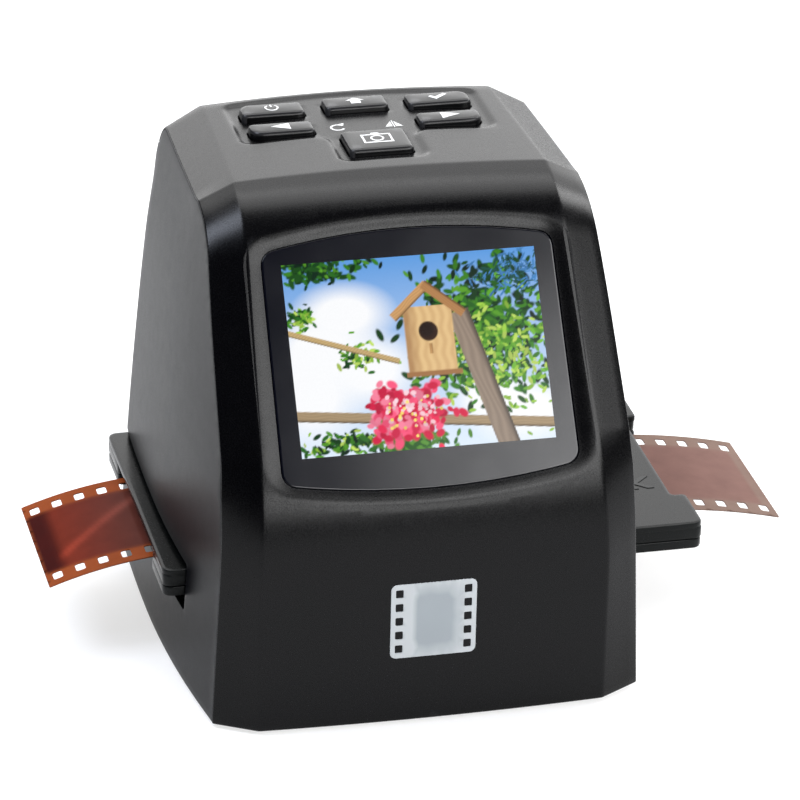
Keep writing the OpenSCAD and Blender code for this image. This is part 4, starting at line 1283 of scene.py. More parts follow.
@dataclass
class Painting:
    """A garden scene: sky, a fence, a nest box, leaves and pink flowers.

    Attributes:
        width: Width in millimetres.
        height: Height in millimetres.
        pitch: Distance between two colours.
    """

    width: float
    height: float
    pitch: float = 0.2

    def __post_init__(self) -> None:
        """Starts with a blank picture."""
        self.x, self.y = np.meshgrid(*(np.linspace(0, side, int(side / self.pitch))
                                       for side in (self.width, self.height)))
        self.rgb = np.zeros(self.x.shape + (3,))
        self.random = np.random.default_rng(SEED)

    def lay(self, mask: np.ndarray, colour: Sequence[float]) -> None:
        """Lays a colour over the picture where the mask is 1."""
        cover = np.clip(mask, 0, 1)[..., None]
        self.rgb = self.rgb * (1 - cover) + np.array(colour[:3]) * cover

    def oval(self, x: float, y: float, rx: float, ry: float, soft: float) -> np.ndarray:
        """A mask of an oval around x and y, with its half sizes and a soft edge."""
        far = np.hypot((self.x - x) / rx, (self.y - y) / ry)
        return np.clip((1 - far) / soft + 0.5, 0, 1)

    def bar(self, start: Point2, end: Point2, wide: float) -> tuple[np.ndarray, np.ndarray]:
        """A straight bar.

        Args:
            start: Middle of its one end.
            end: Middle of its other end.
            wide: Its width.

        Returns:
            Its mask, and the share across it.
        """
        a, b = np.array(start), np.array(end)
        length = float(np.linalg.norm(b - a))
        d = (b - a) / length
        along = (self.x - a[0]) * d[0] + (self.y - a[1]) * d[1]
        across = (self.x - a[0]) * -d[1] + (self.y - a[1]) * d[0]
        near = np.clip((wide / 2 - np.abs(across)) / 0.15 + 0.5, 0, 1)
        near *= np.clip(along / 0.2 + 0.5, 0, 1) * np.clip((length - along) / 0.2 + 0.5, 0, 1)
        return near, across / wide + 0.5

    def wood(self, start: Point2, end: Point2, wide: float, tone: Colour) -> None:
        """Paints a weathered plank with grain and a shaded lower edge.

        Args:
            start: Middle of its one end.
            end: Middle of its other end.
            wide: Its width.
            tone: Its colour.
        """
        mask, across = self.bar(start, end, wide)
        grain = 0.5 + 0.5 * np.sin(across * 23 + np.sin(self.x * 0.9 + self.y * 0.7) * 2.0)
        self.lay(mask, tone)
        self.lay(mask * grain * 0.35, scaled(tone, 0.45))
        self.lay(mask * np.clip((0.28 - across) * 4, 0, 1), scaled(tone, 0.25))

    def scatter(self, count: int, middle: Point2, reach: Point2, size: Point2,
                tones: Sequence[Colour], slim: float) -> None:
        """Paints many small leaves or petals around a middle.

        Args:
            count: How many.
            middle: Middle of the cluster.
            reach: Its reach sideways and upwards.
            size: Smallest and largest length of one.
            tones: Colours to choose from.
            slim: Width as a share of the length.
        """
        pick = self.random
        rows, columns = self.x.shape
        px, py = columns / self.width, rows / self.height
        for _ in range(count):
            x = middle[0] + reach[0] * pick.normal(0, 0.5)
            y = middle[1] + reach[1] * pick.normal(0, 0.5)
            length = pick.uniform(*size)
            turn = pick.uniform(0, math.pi)
            tone = np.array(tones[pick.integers(len(tones))][:3]) * pick.uniform(0.75, 1.2)
            c0, c1 = int((x - length) * px), int((x + length) * px) + 2
            r0, r1 = int((y - length) * py), int((y + length) * py) + 2
            c0, r0 = max(c0, 0), max(r0, 0)
            if c0 >= min(c1, columns) or r0 >= min(r1, rows):
                continue
            cut = (slice(r0, r1), slice(c0, c1))
            dx, dy = self.x[cut] - x, self.y[cut] - y
            c, s = math.cos(turn), math.sin(turn)
            far = np.hypot((c * dx + s * dy) / length, (c * dy - s * dx) / (length * slim))
            cover = np.clip((1 - far) * 3, 0, 1)[..., None]
            self.rgb[cut] = self.rgb[cut] * (1 - cover) + np.clip(tone, 0, 1) * cover

    def paint(self) -> np.ndarray:
        """Paints the whole scene.

        Returns:
            Linear colours, lowest row first.
        """
        share = (self.y / self.height)[..., None]
        low, high = (np.array(c[:3]) for c in (shade(226, 240, 255), shade(96, 158, 226)))
        self.rgb = low * (1 - share) + high * share
        for x, y, rx, ry in ((6, 20, 9, 7), (11, 27, 8, 5), (15, 16, 8, 6), (3, 12, 8, 8),
                             (44, 6, 9, 5), (38, 9, 6, 4)):
            self.lay(self.oval(x, y, rx, ry, soft=0.8), shade(252, 253, 255))
        dark = [shade(18, 58, 20), shade(30, 80, 26), shade(12, 40, 22)]
        green = [shade(60, 128, 30), shade(88, 156, 38), shade(40, 100, 30), shade(20, 66, 24)]
        light = [shade(150, 196, 66), shade(186, 214, 96), shade(112, 178, 52)]
        cool = [shade(70, 130, 190), shade(30, 80, 70)]
        for cluster in (
                (420, (38, 24), (13, 12), (0.8, 1.8), dark, 0.45),
                (520, (38, 22), (14, 13), (0.6, 1.5), green, 0.45),
                (260, (40, 16), (12, 10), (0.5, 1.1), light, 0.45),
                (150, (46, 33), (8, 4), (0.7, 1.5), cool, 0.2),
                (170, (6, 36), (9, 2.6), (0.7, 1.4), dark + green, 0.45),
                (60, (3, 27), (3, 2.2), (0.5, 1.1), green + light, 0.45),
                (60, (13, 18.5), (3.2, 2.6), (0.5, 1.1), green + light, 0.45),
                (150, (9, 2.2), (8, 2.2), (0.5, 1.2), green + light + dark, 0.45)):
            self.scatter(*cluster)
        self.wood((-1, 8.2), (51, 3.0), 2.0, shade(176, 152, 118))
        self.wood((41, -1), (33.5, 26), 4.2, shade(158, 140, 124))
        self.wood((-1, 24.5), (21, 17.2), 1.1, shade(206, 176, 122))
        self.nest_box()
        stems = [shade(46, 104, 36), shade(84, 140, 48)]
        pinks = [shade(232, 40, 84), shade(244, 84, 122), shade(206, 22, 66), shade(250, 132, 160)]
        for cluster in (
                (160, (22, 1.5), (7, 4), (0.7, 1.5), stems, 0.45),
                (300, (21.5, 7.0), (7.0, 4.6), (0.7, 1.5), pinks, 0.7),
                (45, (22.5, 8.5), (6.0, 3.6), (0.3, 0.7), [shade(255, 206, 216)], 0.8),
                (24, (21.5, 7.0), (6.0, 4.0), (0.25, 0.4), [shade(250, 220, 110)], 1.0)):
            self.scatter(*cluster)
        return np.clip(self.rgb, 0, 1)

    def nest_box(self) -> None:
        """Paints a straw-coloured nest box with a pitched roof on the post."""
        body, across = self.bar((27.5, 14.5), (27.5, 27.5), 9.6)
        grain = 0.5 + 0.5 * np.sin(across * 34 + np.sin(self.y * 1.3))
        self.lay(body, shade(232, 196, 140))
        self.lay(body * grain * 0.3, shade(176, 128, 78))
        self.lay(body * np.clip((across - 0.72) * 5, 0, 1) * 0.6, shade(150, 100, 62))
        self.lay(self.oval(27.3, 22.6, 1.9, 1.9, soft=0.12), shade(52, 30, 18))
        self.lay(self.oval(27.0, 22.9, 1.4, 1.4, soft=0.5) * 0.6, shade(20, 12, 8))
        self.wood((27.5, 18.2), (27.5, 20.2), 0.7, shade(196, 150, 96))
        self.wood((20.6, 25.6), (27.9, 31.8), 1.8, shade(214, 164, 108))
        self.wood((34.6, 25.6), (27.1, 31.8), 1.8, shade(188, 136, 86))
        self.lay(self.bar((22.2, 14.4), (33.2, 14.4), 1.0)[0], shade(164, 116, 72))


@dataclass
class Keypad:
    """The dished keypad on the roof and its six keys.

    Attributes:
        depth: Depth of the recess.
        rise: Height of the keys above the recess.
        width: Width of a key.
        pitch: Pitch of the columns.
        rows: Front edge and depth of the rear, front and scan rows.
        gap: Clearance around each key.
        wall: Wall of the front cover.
        roof_half: Half width of the roof that the crown spans.
        recess_half: Half width of the recess.
        lip: Growth of the recess's outline at its upper and lower edge.
        corners: Radius of a key's soft corner and of the others.
        flange: Reach of a key's flange under the cover.
        turn_x: Place of the turn sign.
        mirror_x: Place of the mirror sign.
        crown: Extra height in the middle of a key.
        inset: Inset of a key's top behind its side.
        stem: Radius of a key's stem at its end and above it.
        margins: Room behind the rear keys, before the front keys and around the scan key.
        bow: Bow of the recess's rear edge.
        recess_r: Radius of the recess's corners.
    """

    depth: float = 0.6
    rise: float = 1.5
    width: float = 12.9
    pitch: float = 17.0
    rows: tuple[Point2, Point2, Point2] = ((25.5, 5.6), (16.0, 5.1), (3.4, 10.2))
    gap: float = 0.25
    wall: float = 2.2
    roof_half: float = 31.0
    recess_half: float = 25.9
    lip: Point2 = (0.8, -1.35)
    corners: Point2 = (2.4, 1.0)
    flange: float = 0.7
    turn_x: float = -5.55
    mirror_x: float = 5.65
    crown: float = 0.1
    inset: float = 1.05
    stem: Point2 = (1.25, 1.4)
    margins: tuple[float, float, float] = (4.0, 2.0, 2.6)
    bow: float = 0.6
    recess_r: float = 2.5

    def __post_init__(self) -> None:
        """Lists the keys: column, row and the corner that is well rounded."""
        self.keys = {"power": (-1, 0, (-1, 1)), "up": (0, 0, (0, 0)), "ok": (1, 0, (1, 1)),
                     "left": (-1, 1, (-1, -1)), "right": (1, 1, (1, -1)), "scan": (0, 2, (0, 0))}

    def length_at(self, y: float) -> float:
        """Length along the side view at a depth y on the flat roof."""
        roof = BODY.spots[BODY.spots[:, 3] >= 89.9]
        return float(np.interp(y, roof[:, 1], roof[:, 0]))

    def place(self, x: float, y: float, depth: float = 0.0) -> Point3:
        """A point of the roof at a depth below it."""
        return BODY.panel(x, self.length_at(y), depth)

    def outline(self) -> Outline:
        """The recess: a wide band with a tab for the scan key.

        Returns:
            The outline.
        """
        behind, before, around = self.margins
        back, low = self.rows[0][0] + self.rows[0][1] + behind, self.rows[1][0] - before
        tab, front = self.width / 2 + around, self.rows[2][0] - around
        half, bow, parts = self.recess_half, self.bow, 8
        top = [(half * (1 - 2 * i / parts), back + bow - 2 * bow * (2 * i / parts - 1) ** 2)
               for i in range(parts + 1)]
        corners = [(-tab, front), (tab, front), (tab, low), (half, low)] + top + [
            (-half, low), (-tab, low)]
        radii = [self.recess_r] * 5 + [0.0] * (parts - 1) + [self.recess_r] * 3
        return Outline(tuple(corners), tuple(radii), step=1.2)

    def middle(self, name: str) -> tuple[float, float, float]:
        """A key's middle sideways, its front edge and its depth."""
        column, row, _ = self.keys[name]
        return column * self.pitch, *self.rows[row]

    def key_outline(self, name: str) -> Outline:
        """The outline of one key.

        Args:
            name: The key's name.

        Returns:
            The outline.
        """
        x, y, d = self.middle(name)
        half = self.width / 2
        corners = tuple(box_shape(x - half, y, x + half, y + d))
        soft = self.keys[name][2]
        radii = tuple(self.corners[0] if soft == way else self.corners[1]
                      for way in ((-1, -1), (1, -1), (1, 1), (-1, 1)))
        return Outline(corners, radii, step=1.0)

    def recess(self, sheet: Sheet) -> list[Point2]:
        """Adds the dished floor with its key holes to the front cover.

        Args:
            sheet: The front cover.

        Returns:
            The recess's outline on the front panel.
        """
        outline = self.outline()
        d = self.depth
        wide, tight = self.lip
        profile = ((wide, 0.0), (0.45, 0.02), (0.1, 0.1), (-0.25, 0.26), (-0.6, 0.45),
                   (-0.95, 0.56), (tight, d))
        sheet.rim(self.place, outline, profile)
        holes = {name: self.key_outline(name) for name in self.keys}
        edge = 0.16
        loops = [outline.grown(tight)] + [h.grown(self.gap + edge) for h in holes.values()]
        half = self.recess_half
        inner = grid_points(spread(-half, half, 1.3), spread(0.0, 36.0, 1.3))
        sheet.patch(lambda u, v: self.place(u, v, d), loops, inner, 0.6)
        for hole in holes.values():
            sheet.rim(self.place, hole, ((self.gap + edge, d), (self.gap + 0.05, d + 0.03),
                                         (self.gap, d + 0.13), (self.gap, d + 0.8)))
        return [(x, self.length_at(y)) for x, y in outline.grown(wide)]

    def key_top(self, name: str) -> float:
        """Height of a key's top."""
        return self.roof_at(self.middle(name)[0]) - self.depth + self.rise

    def roof_at(self, x: float) -> float:
        """Height of the crowned roof."""
        return BODY.height + BODY.crown * (1 - (x / self.roof_half) ** 2)

    def build(self) -> None:
        """Makes the six keys, their symbols and the two printed signs."""
        for name in self.keys:
            self.key(name)
        for name, shapes in KEY_SIGNS.items():
            self.sign(name, shapes)
        self.floor_signs()

    def key(self, name: str) -> None:
        """Makes one key: a rounded cap over its flange and stem.

        Args:
            name: The key's name.
        """
        outline, top = self.key_outline(name), self.key_top(name)
        x, y, d = self.middle(name)
        reach = self.flange
        flange = self.roof_at(abs(x) + self.width / 2 + reach) - self.wall - 0.3
        stem = BODY.height - self.wall - 2.4
        cap = Sheet()
        profile = ((reach - 0.1, flange - 0.8), (reach, flange - 0.7), (reach, flange - 0.1),
                   (reach - 0.1, flange), (0.0, flange + 0.06), (0.0, top - 0.85),
                   (-0.05, top - 0.55), (-0.18, top - 0.3), (-0.4, top - 0.12),
                   (-0.7, top - 0.03), (-self.inset, top))
        cap.solid(outline, profile, lambda u, v, h: (u, v, h), top=self.crown, step=0.9)
        tip, thick = self.stem
        cap.tube((x, y + d / 2), ((tip, stem), (thick, stem + 0.15), (thick, flange - 0.79)))
        settle(cap.build(f"{name}_cap", crease=48), f"{name}_button",
               Finish.KEY, [f"{name}_key"])

    def sign(self, name: str, shapes: Loops) -> None:
        """Prints a key's symbol on its cap.

        Args:
            name: The key's name.
            shapes: Polygons around the key's middle.
        """
        x, y, d = self.middle(name)
        half, deep = self.width / 2 - self.inset, d / 2 - self.inset
        top = self.key_top(name)

        def place(u: float, v: float, h: float) -> Point3:
            """A point on the cap, h above it."""
            crown = self.crown * max(0.0, 1 - (u / half) ** 2) * max(0.0, 1 - (v / deep) ** 2)
            return x + u, y + d / 2 + v, top + crown + h

        settle(stamp(f"{name}_symbol", shapes, place), f"{name}_button",
               Finish.PRINT)

    def floor_signs(self) -> None:
        """Prints two small signs on the recess's floor: turn the picture and mirror it."""
        turn = [ring_part(1.35, 0.42, 35, 325), arrow_head((1.3, 0.75), -70, 1.1)]
        mirror = [((-0.35, -1.3), (-0.35, 1.3), (-1.75, -1.3)),
                  ((0.35, -1.3), (1.75, -1.3), (0.35, 1.3)),
                  box_shape(-0.1, -1.7, 0.1, 1.7)]
        y = self.rows[1][0] + 2.9
        for name, x, shapes in (("turn_sign", self.turn_x, turn),
                                ("mirror_sign", self.mirror_x, mirror)):
            shift = [[(x + u, y + v) for u, v in shape] for shape in shapes]
            piece = stamp(name, shift, lambda u, v, h: self.place(u, v, self.depth - h))
            settle(piece, "housing", Finish.PRINT)


def stamp(name: str, shapes: Loops, place: Place,
          thick: float = 0.03) -> bpy.types.Object:
    """Makes thin printed shapes that follow a surface.

    Args:
        name: The piece's name.
        shapes: Closed polygons.
        place: Turns two coordinates and a height into a point.
        thick: Thickness of the print.

    Returns:
        The object.
    """
    sheet = Sheet()
    for shape in shapes:
        corners = list(shape)
        area = sum(a[0] * b[1] - b[0] * a[1] for a, b in zip(corners, corners[1:] + corners[:1]))
        if area < 0:
            corners.reverse()
        loop = Outline(tuple(corners), (0.0,) * len(corners), step=0.6).grown()
        (x0, y0), (x1, y1) = np.array(loop).min(0), np.array(loop).max(0)
        inner = grid_points(spread(x0, x1, 0.7)[1:-1], spread(y0, y1, 0.7)[1:-1])
        for height in (-SUNK, thick):
            sheet.patch(lambda u, v: place(u, v, height), [loop], inner, 0.25)
        sheet.strip([[place(u, v, h) for u, v in loop] for h in (-SUNK, thick)], closed=True)
    return sheet.build(name, crease=60)


def ring_part(radius: float, wide: float, start: float, end: float) -> list[Point2]:
    """Part of a ring.

    Args:
        radius: Middle radius.
        wide: Width of the ring.
        start: First angle in degrees.
        end: Last angle in degrees.

    Returns:
        The polygon.
    """
    steps = 20
    turn = [math.radians(blend(start, end, i / steps)) for i in range(steps + 1)]
    outer, inner = ([(r * math.cos(a), r * math.sin(a)) for a in turn]
                    for r in (radius + wide / 2, radius - wide / 2))
    return outer + inner[::-1]


def arrow_head(tip: Point2, heading: float, size: float) -> list[Point2]:
    """A triangle that points one way.

    Args:
        tip: Its tip.
        heading: Where it points, in degrees.
        size: Its length.

    Returns:
        The polygon.
    """
    a = math.radians(heading)
    c, s, half = math.cos(a), math.sin(a), size * 0.6
    x, y = tip[0] - c * size, tip[1] - s * size
    return [tip, (x - s * half, y + c * half), (x + s * half, y - c * half)]


def frame_shape(w: float, h: float, wide: float) -> list[list[Point2]]:
    """Four bars of a rectangular frame.

    Args:
        w: Width of the frame.
        h: Its height.
        wide: Width of a bar.

    Returns:
        The four polygons.
    """
    x, y, low = w / 2, h / 2, -h / 2 + wide
    return [box_shape(-x, -y, x, low), box_shape(-x, y - wide, x, y),
            box_shape(-x, low, -x + wide, y - wide), box_shape(x - wide, low, x, y - wide)]


KEY_SIGNS: dict[str, list[list[Point2]]] = {
    "power": [ring_part(1.25, 0.32, 125, 415), box_shape(-0.17, 0.35, 0.17, 1.65)],
    "up": [[(-1.9, 0.1), (1.9, 0.1), (0.0, 1.5)], box_shape(-1.0, -1.3, 1.0, 0.15)],
    "ok": [[(-1.9, 0.1), (-1.3, 0.65), (-0.5, -0.2), (-0.5, -1.3)],
           [(-0.5, -1.3), (-0.5, -0.2), (1.5, 1.5), (2.1, 0.9)]],
    "left": [[(-2.2, 0.0), (1.6, -1.5), (1.6, 1.5)]],
    "right": [[(2.2, 0.0), (-1.6, 1.5), (-1.6, -1.5)]],
    "scan": frame_shape(6.0, 4.2, 0.42) + [ring_part(1.2, 0.36, 0, 359),
                                            [(-0.9, 2.05), (0.9, 2.05), (0.7, 2.75), (-0.7, 2.75)]],
}


@dataclass
class Covers:
    """The front and rear covers as moulded shells.

    Attributes:
        screen: The screen in the front cover.
        keypad: The keypad in the roof.
        fillet: Rounding where the panel meets its chamfers.
        lip: Rounding of the front cover along the seam.
        roll: Rounding of the rear cover along the seam.
        foot: Rounding of the lower edge.
        seam: Gap between the covers.
        wall: Thickness of the walls.
        slot: Front, rear, lower and upper edge of the film slot.
    """

    screen: Screen
    keypad: Keypad
    fillet: float = 0.5
    lip: float = 0.25
    roll: float = 0.25
    foot: float = 0.45
    seam: float = 0.12
    wall: float = 1.5
    slot: tuple[float, float, float, float] = (-22.0, 41.8, 14.6, 24.47)

    def stations(self) -> list[float]:
        """Lengths along the side view, closer where it bends.

        Returns:
            The lengths, from the foot up.
        """
        straight, bent, tight = 1.5, 1.1, 0.55
        found = [self.foot]
        while found[-1] < BODY.length:
            lean = BODY.spot(found[-1])[2]
            step = straight if lean == 0.0 or 89.9 < lean < 90.1 else bent
            found.append(min(BODY.length, found[-1] + (tight if lean > 90.1 else step)))
        if found[-1] - found[-2] < 0.2:
            found.pop(-2)
        fold = [BODY.crease_s + shift for shift in (-0.4, 0.0, 0.4)]
        return sorted([s for s in found if min(abs(s - f) for f in fold) > 0.3] + fold)

    def corner(self, way: float, s: float) -> list[Point3]:
        """The front cover's corner at a length s: fillet, chamfer and rolled edge.

        Args:
            way: -1 for the left corner, 1 for the right one.
            s: Length along the side view.

        Returns:
            Points from the panel outwards.
        """
        w = BODY.half(s)
        start = np.array(BODY.panel(way * (w - self.fillet), s))
        edge = np.array(BODY.panel(way * w, s))
        y, z = BODY.edge(s)
        out = np.array([way * BODY.side_half(y, z), y, z])
        run = (out - edge) / np.linalg.norm(out - edge)
        points = curve_through(start, edge, edge + run * self.fillet, 5)
        far = out - run * self.lip
        last = np.array(points[-1])
        points += [tuple(blend(last, far, i / 4)) for i in range(1, 4)]
        y, z = BODY.edge(s, self.lip)
        points += curve_through(far, out, (way * BODY.side_half(y, z), y, z), 3)
        return points

    def front(self) -> None:
        """Makes the front cover."""
        sheet = Sheet()
        stations = self.stations()
        holes = [self.screen.dish(sheet), self.keypad.recess(sheet)]
        ends = [BODY.half(s) - self.fillet for s in stations]
        low = spread(-ends[0], ends[0], 1.5)
        high = spread(-ends[-1], ends[-1], 1.5)
        outer = [(x, stations[0]) for x in low]
        outer += [(w, s) for w, s in zip(ends, stations)][1:-1]
        outer += [(x, stations[-1]) for x in reversed(high)]
        outer += [(-w, s) for w, s in zip(ends, stations)][-2:0:-1]
        inner = np.array([(u * (w - 0.7), s) for w, s in zip(ends[1:-1], stations[1:-1])
                          for u in np.linspace(-1, 1, 45)])
        sheet.patch(BODY.panel, [outer] + holes, inner, 0.5)
        sides = {way: [self.corner(way, s) for s in stations] for way in (-1.0, 1.0)}
        for rows in sides.values():
            sheet.strip(rows)
        for at, xs, drop in ((0, low, self.foot), (-1, high, self.lip)):
            panel = [BODY.panel(x, stations[at]) for x in xs]
            whole = sides[-1.0][at][::-1] + panel[1:-1] + sides[1.0][at]
            self.turn_under(sheet, whole, drop)
        piece = sheet.build("front_shell", self.wall, (0.0, 5.0, 45.0))
        settle(piece, "housing", Finish.SHELL, ["front_cover"])

    @staticmethod
    def turn_under(sheet: Sheet, row: Sequence[Point3], reach: float) -> None:
        """Rounds the lower edge of a wall inwards.

        Args:
            sheet: The sheet that the wall belongs to.
            row: The wall's lower row, in order.
            reach: Radius of the rounding.
        """
        pts = np.array(row)
        run = np.gradient(pts[:, :2], axis=0)
        run /= np.maximum(np.linalg.norm(run, axis=1), 1e-9)[:, None]
        into = np.c_[run[:, 1], -run[:, 0]]
        middle = np.array([0.0, 3.0]) - pts[:, :2]
        into *= np.sign(np.sum(into * middle, axis=1))[:, None]
        rows = []
        for i in range(4):
            a = math.radians(30 * i)
            moved = pts.copy()
            moved[:, :2] += into * reach * (1 - math.cos(a))
            moved[:, 2] -= reach * math.sin(a)
            rows.append([tuple(p) for p in moved])
        sheet.strip(rows)

    def rear(self) -> None:
        """Makes the rear cover: two side panels and the back."""
        sheet = Sheet()
        stations = self.stations()
        shift = self.lip + self.seam + self.roll
        top = BODY.height - BODY.top_r - shift
        ladder = spread(top, self.foot, 1.8)
        front = [(y, max(z, self.foot)) for y, z in (BODY.edge(s, shift) for s in stations)]
        rear = [(BODY.rear_edge(z), z) for z in ladder]
        under = [(y, self.foot) for y in spread(rear[-1][0], front[0][0], 1.8)][1:-1]
        loop = front + rear + under
        y0, y1, z0, z1 = self.slot
        slot = rectangle(y0, y1, z0, z1, 0.8)
        hole = slot.grown(0.35)
        ys = spread(BODY.front, BODY.rear - 9, 2.0) + spread(BODY.rear - 9, BODY.rear, 0.7)[1:]
        inner = grid_points(ys, spread(0.0, BODY.height, 2.0))
        for way in (-1.0, 1.0):
            def place(y: float, z: float, depth: float = 0.0, way: float = way) -> Point3:
                """A point of this side panel."""
                return BODY.side(way, y, z, depth)
            sheet.patch(place, [loop[::-1], hole], inner, 0.6)
            sheet.rim(place, slot, ((0.35, 0.0), (0.1, 0.05), (0.0, 0.2), (0.0, 0.9)))
            self.seam_edge(sheet, way, stations)
            row = [place(y, z) for y, z in [rear[-1]] + under + [front[0]]]
            self.turn_under(sheet, row, self.foot)
        self.back(sheet, ladder)
        piece = sheet.build("rear_shell", self.wall, (0.0, 5.0, 45.0))
        settle(piece, "housing", Finish.SIDE, ["rear_cover"])

    def seam_edge(self, sheet: Sheet, way: float, stations: Sequence[float]) -> None:
        """Rolls a side panel's edge inwards along the seam.

        Args:
            sheet: The rear cover.
            way: -1 for the left side, 1 for the right one.
            stations: Lengths along the side view.
        """
        rows = []
        for s in stations:
            gap = self.lip + self.seam
            (y0, z0), (y1, z1) = BODY.edge(s, gap + self.roll), BODY.edge(s, gap)
            z0, z1 = max(z0, self.foot), max(z1, self.foot)
            start = BODY.side(way, y0, z0)
            corner = BODY.side(way, y1, z1)
            end = (corner[0] - way * self.roll, corner[1], corner[2])
            rows.append(curve_through(start, corner, end, 3))
        sheet.strip(rows)

    def back(self, sheet: Sheet, ladder: Sequence[float]) -> None:
        """Adds the back with its ports to the rear cover.

        Args:
            sheet: The rear cover.
            ladder: Heights of the back's edge points, from the top down.
        """
        ports = {name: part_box(name) for name in ("usb_port", "video_jack", "card_slot")}
        usb, jack, card = ([c / MM for c in (lo.x, hi.x, lo.z, hi.z)]
                           for lo, hi in ports.values())
        middle = (jack[0] + jack[1]) / 2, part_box("video_jack")[1].z / MM - 3.1
        bore = turned(middle[0], middle[1] + 0.2, 3.2, 32)
        holes = [rectangle(usb[0] - 0.4, usb[1] + 0.4, usb[2] - 0.3, usb[3] + 0.3, 0.7, 0.8),
                 Outline(tuple(bore), (0.0,) * len(bore), step=3.2),
                 rectangle(card[0] + 0.8, card[1] - 0.8, card[2] + 0.9, card[3] + 0.2, 0.6, 0.8)]
        right = [(BODY.back_half(z), z) for z in ladder]
        left = [(-x, z) for x, z in right]
        xs = [x * right[-1][0] for x in np.sin(np.linspace(-math.pi / 2, math.pi / 2, 56))]
        low = [(x, ladder[-1]) for x in xs]
        high = [(x * right[0][0] / right[-1][0], ladder[0]) for x in xs]
        loop = left[:-1] + low[:-1] + right[::-1][:-1] + high[::-1][:-1]
        inner = grid_points(xs, spread(0.0, BODY.height, 2.0))
        edge = 0.25
        sheet.patch(BODY.back, [loop] + [h.grown(edge) for h in holes], inner, 0.45)
        for hole in holes:
            sheet.rim(BODY.back, hole, ((edge, 0.0), (0.06, 0.04), (0.0, 0.18), (0.0, 0.9)))
        self.turn_under(sheet, [BODY.back(x, z) for x, z in low], self.foot)
        row = [BODY.back(x, z) for x, z in high]
        turn = [math.radians(30 * i) for i in range(4)]
        sheet.strip([[(x, y - self.roll * (1 - math.cos(a)), z + self.roll * math.sin(a))
                      for x, y, z in row] for a in turn])

    def build(self) -> None:
        """Makes both covers."""
        self.front()
        self.rear()


# --- badge, tray and film


@dataclass
class Badge:
    """A plain printed plate with two columns of film holes, on the front panel.

    Attributes:
        x: Its middle sideways.
        z: Its middle's height.
        size: Width and height.
        thick: Thickness of the print.
        hole: Width and height of a film hole.
        hole_pitch: Pitch of the film holes.
        margin: Distance from the plate's side to the middle of its holes.
    """

    x: float = -0.5
    z: float = 22.0
    size: Point2 = (17.0, 16.0)
    thick: float = 0.14
    hole: Point2 = (1.5, 1.7)
    hole_pitch: float = 3.0
    margin: float = 1.7

    def build(self) -> None:
        """Makes the badge so that it follows the crowned panel."""
        w, h = self.size[0] / 2, self.size[1] / 2
        a, b = self.hole[0] / 2, self.hole[1] / 2
        plate = rectangle(self.x - w, self.x + w, self.z - h, self.z + h, 1.2)
        middles = [(self.x + way * (w - self.margin), self.z + k * self.hole_pitch)
                   for way in (-1, 1) for k in range(-2, 3)]
        holes = [rectangle(x - a, x + a, z - b, z + b, 0.25) for x, z in middles]
        sheet = Sheet()
        sheet.solid(plate, ((0.0, -SUNK), (0.0, self.thick - 0.05), (-0.04, self.thick)),
                    lambda u, v, lift: BODY.panel(u, v, -lift), holes, step=2.0)
        settle(sheet.build("front_badge_plate", crease=50), "housing",
               Finish.BADGE, ["front_badge"])


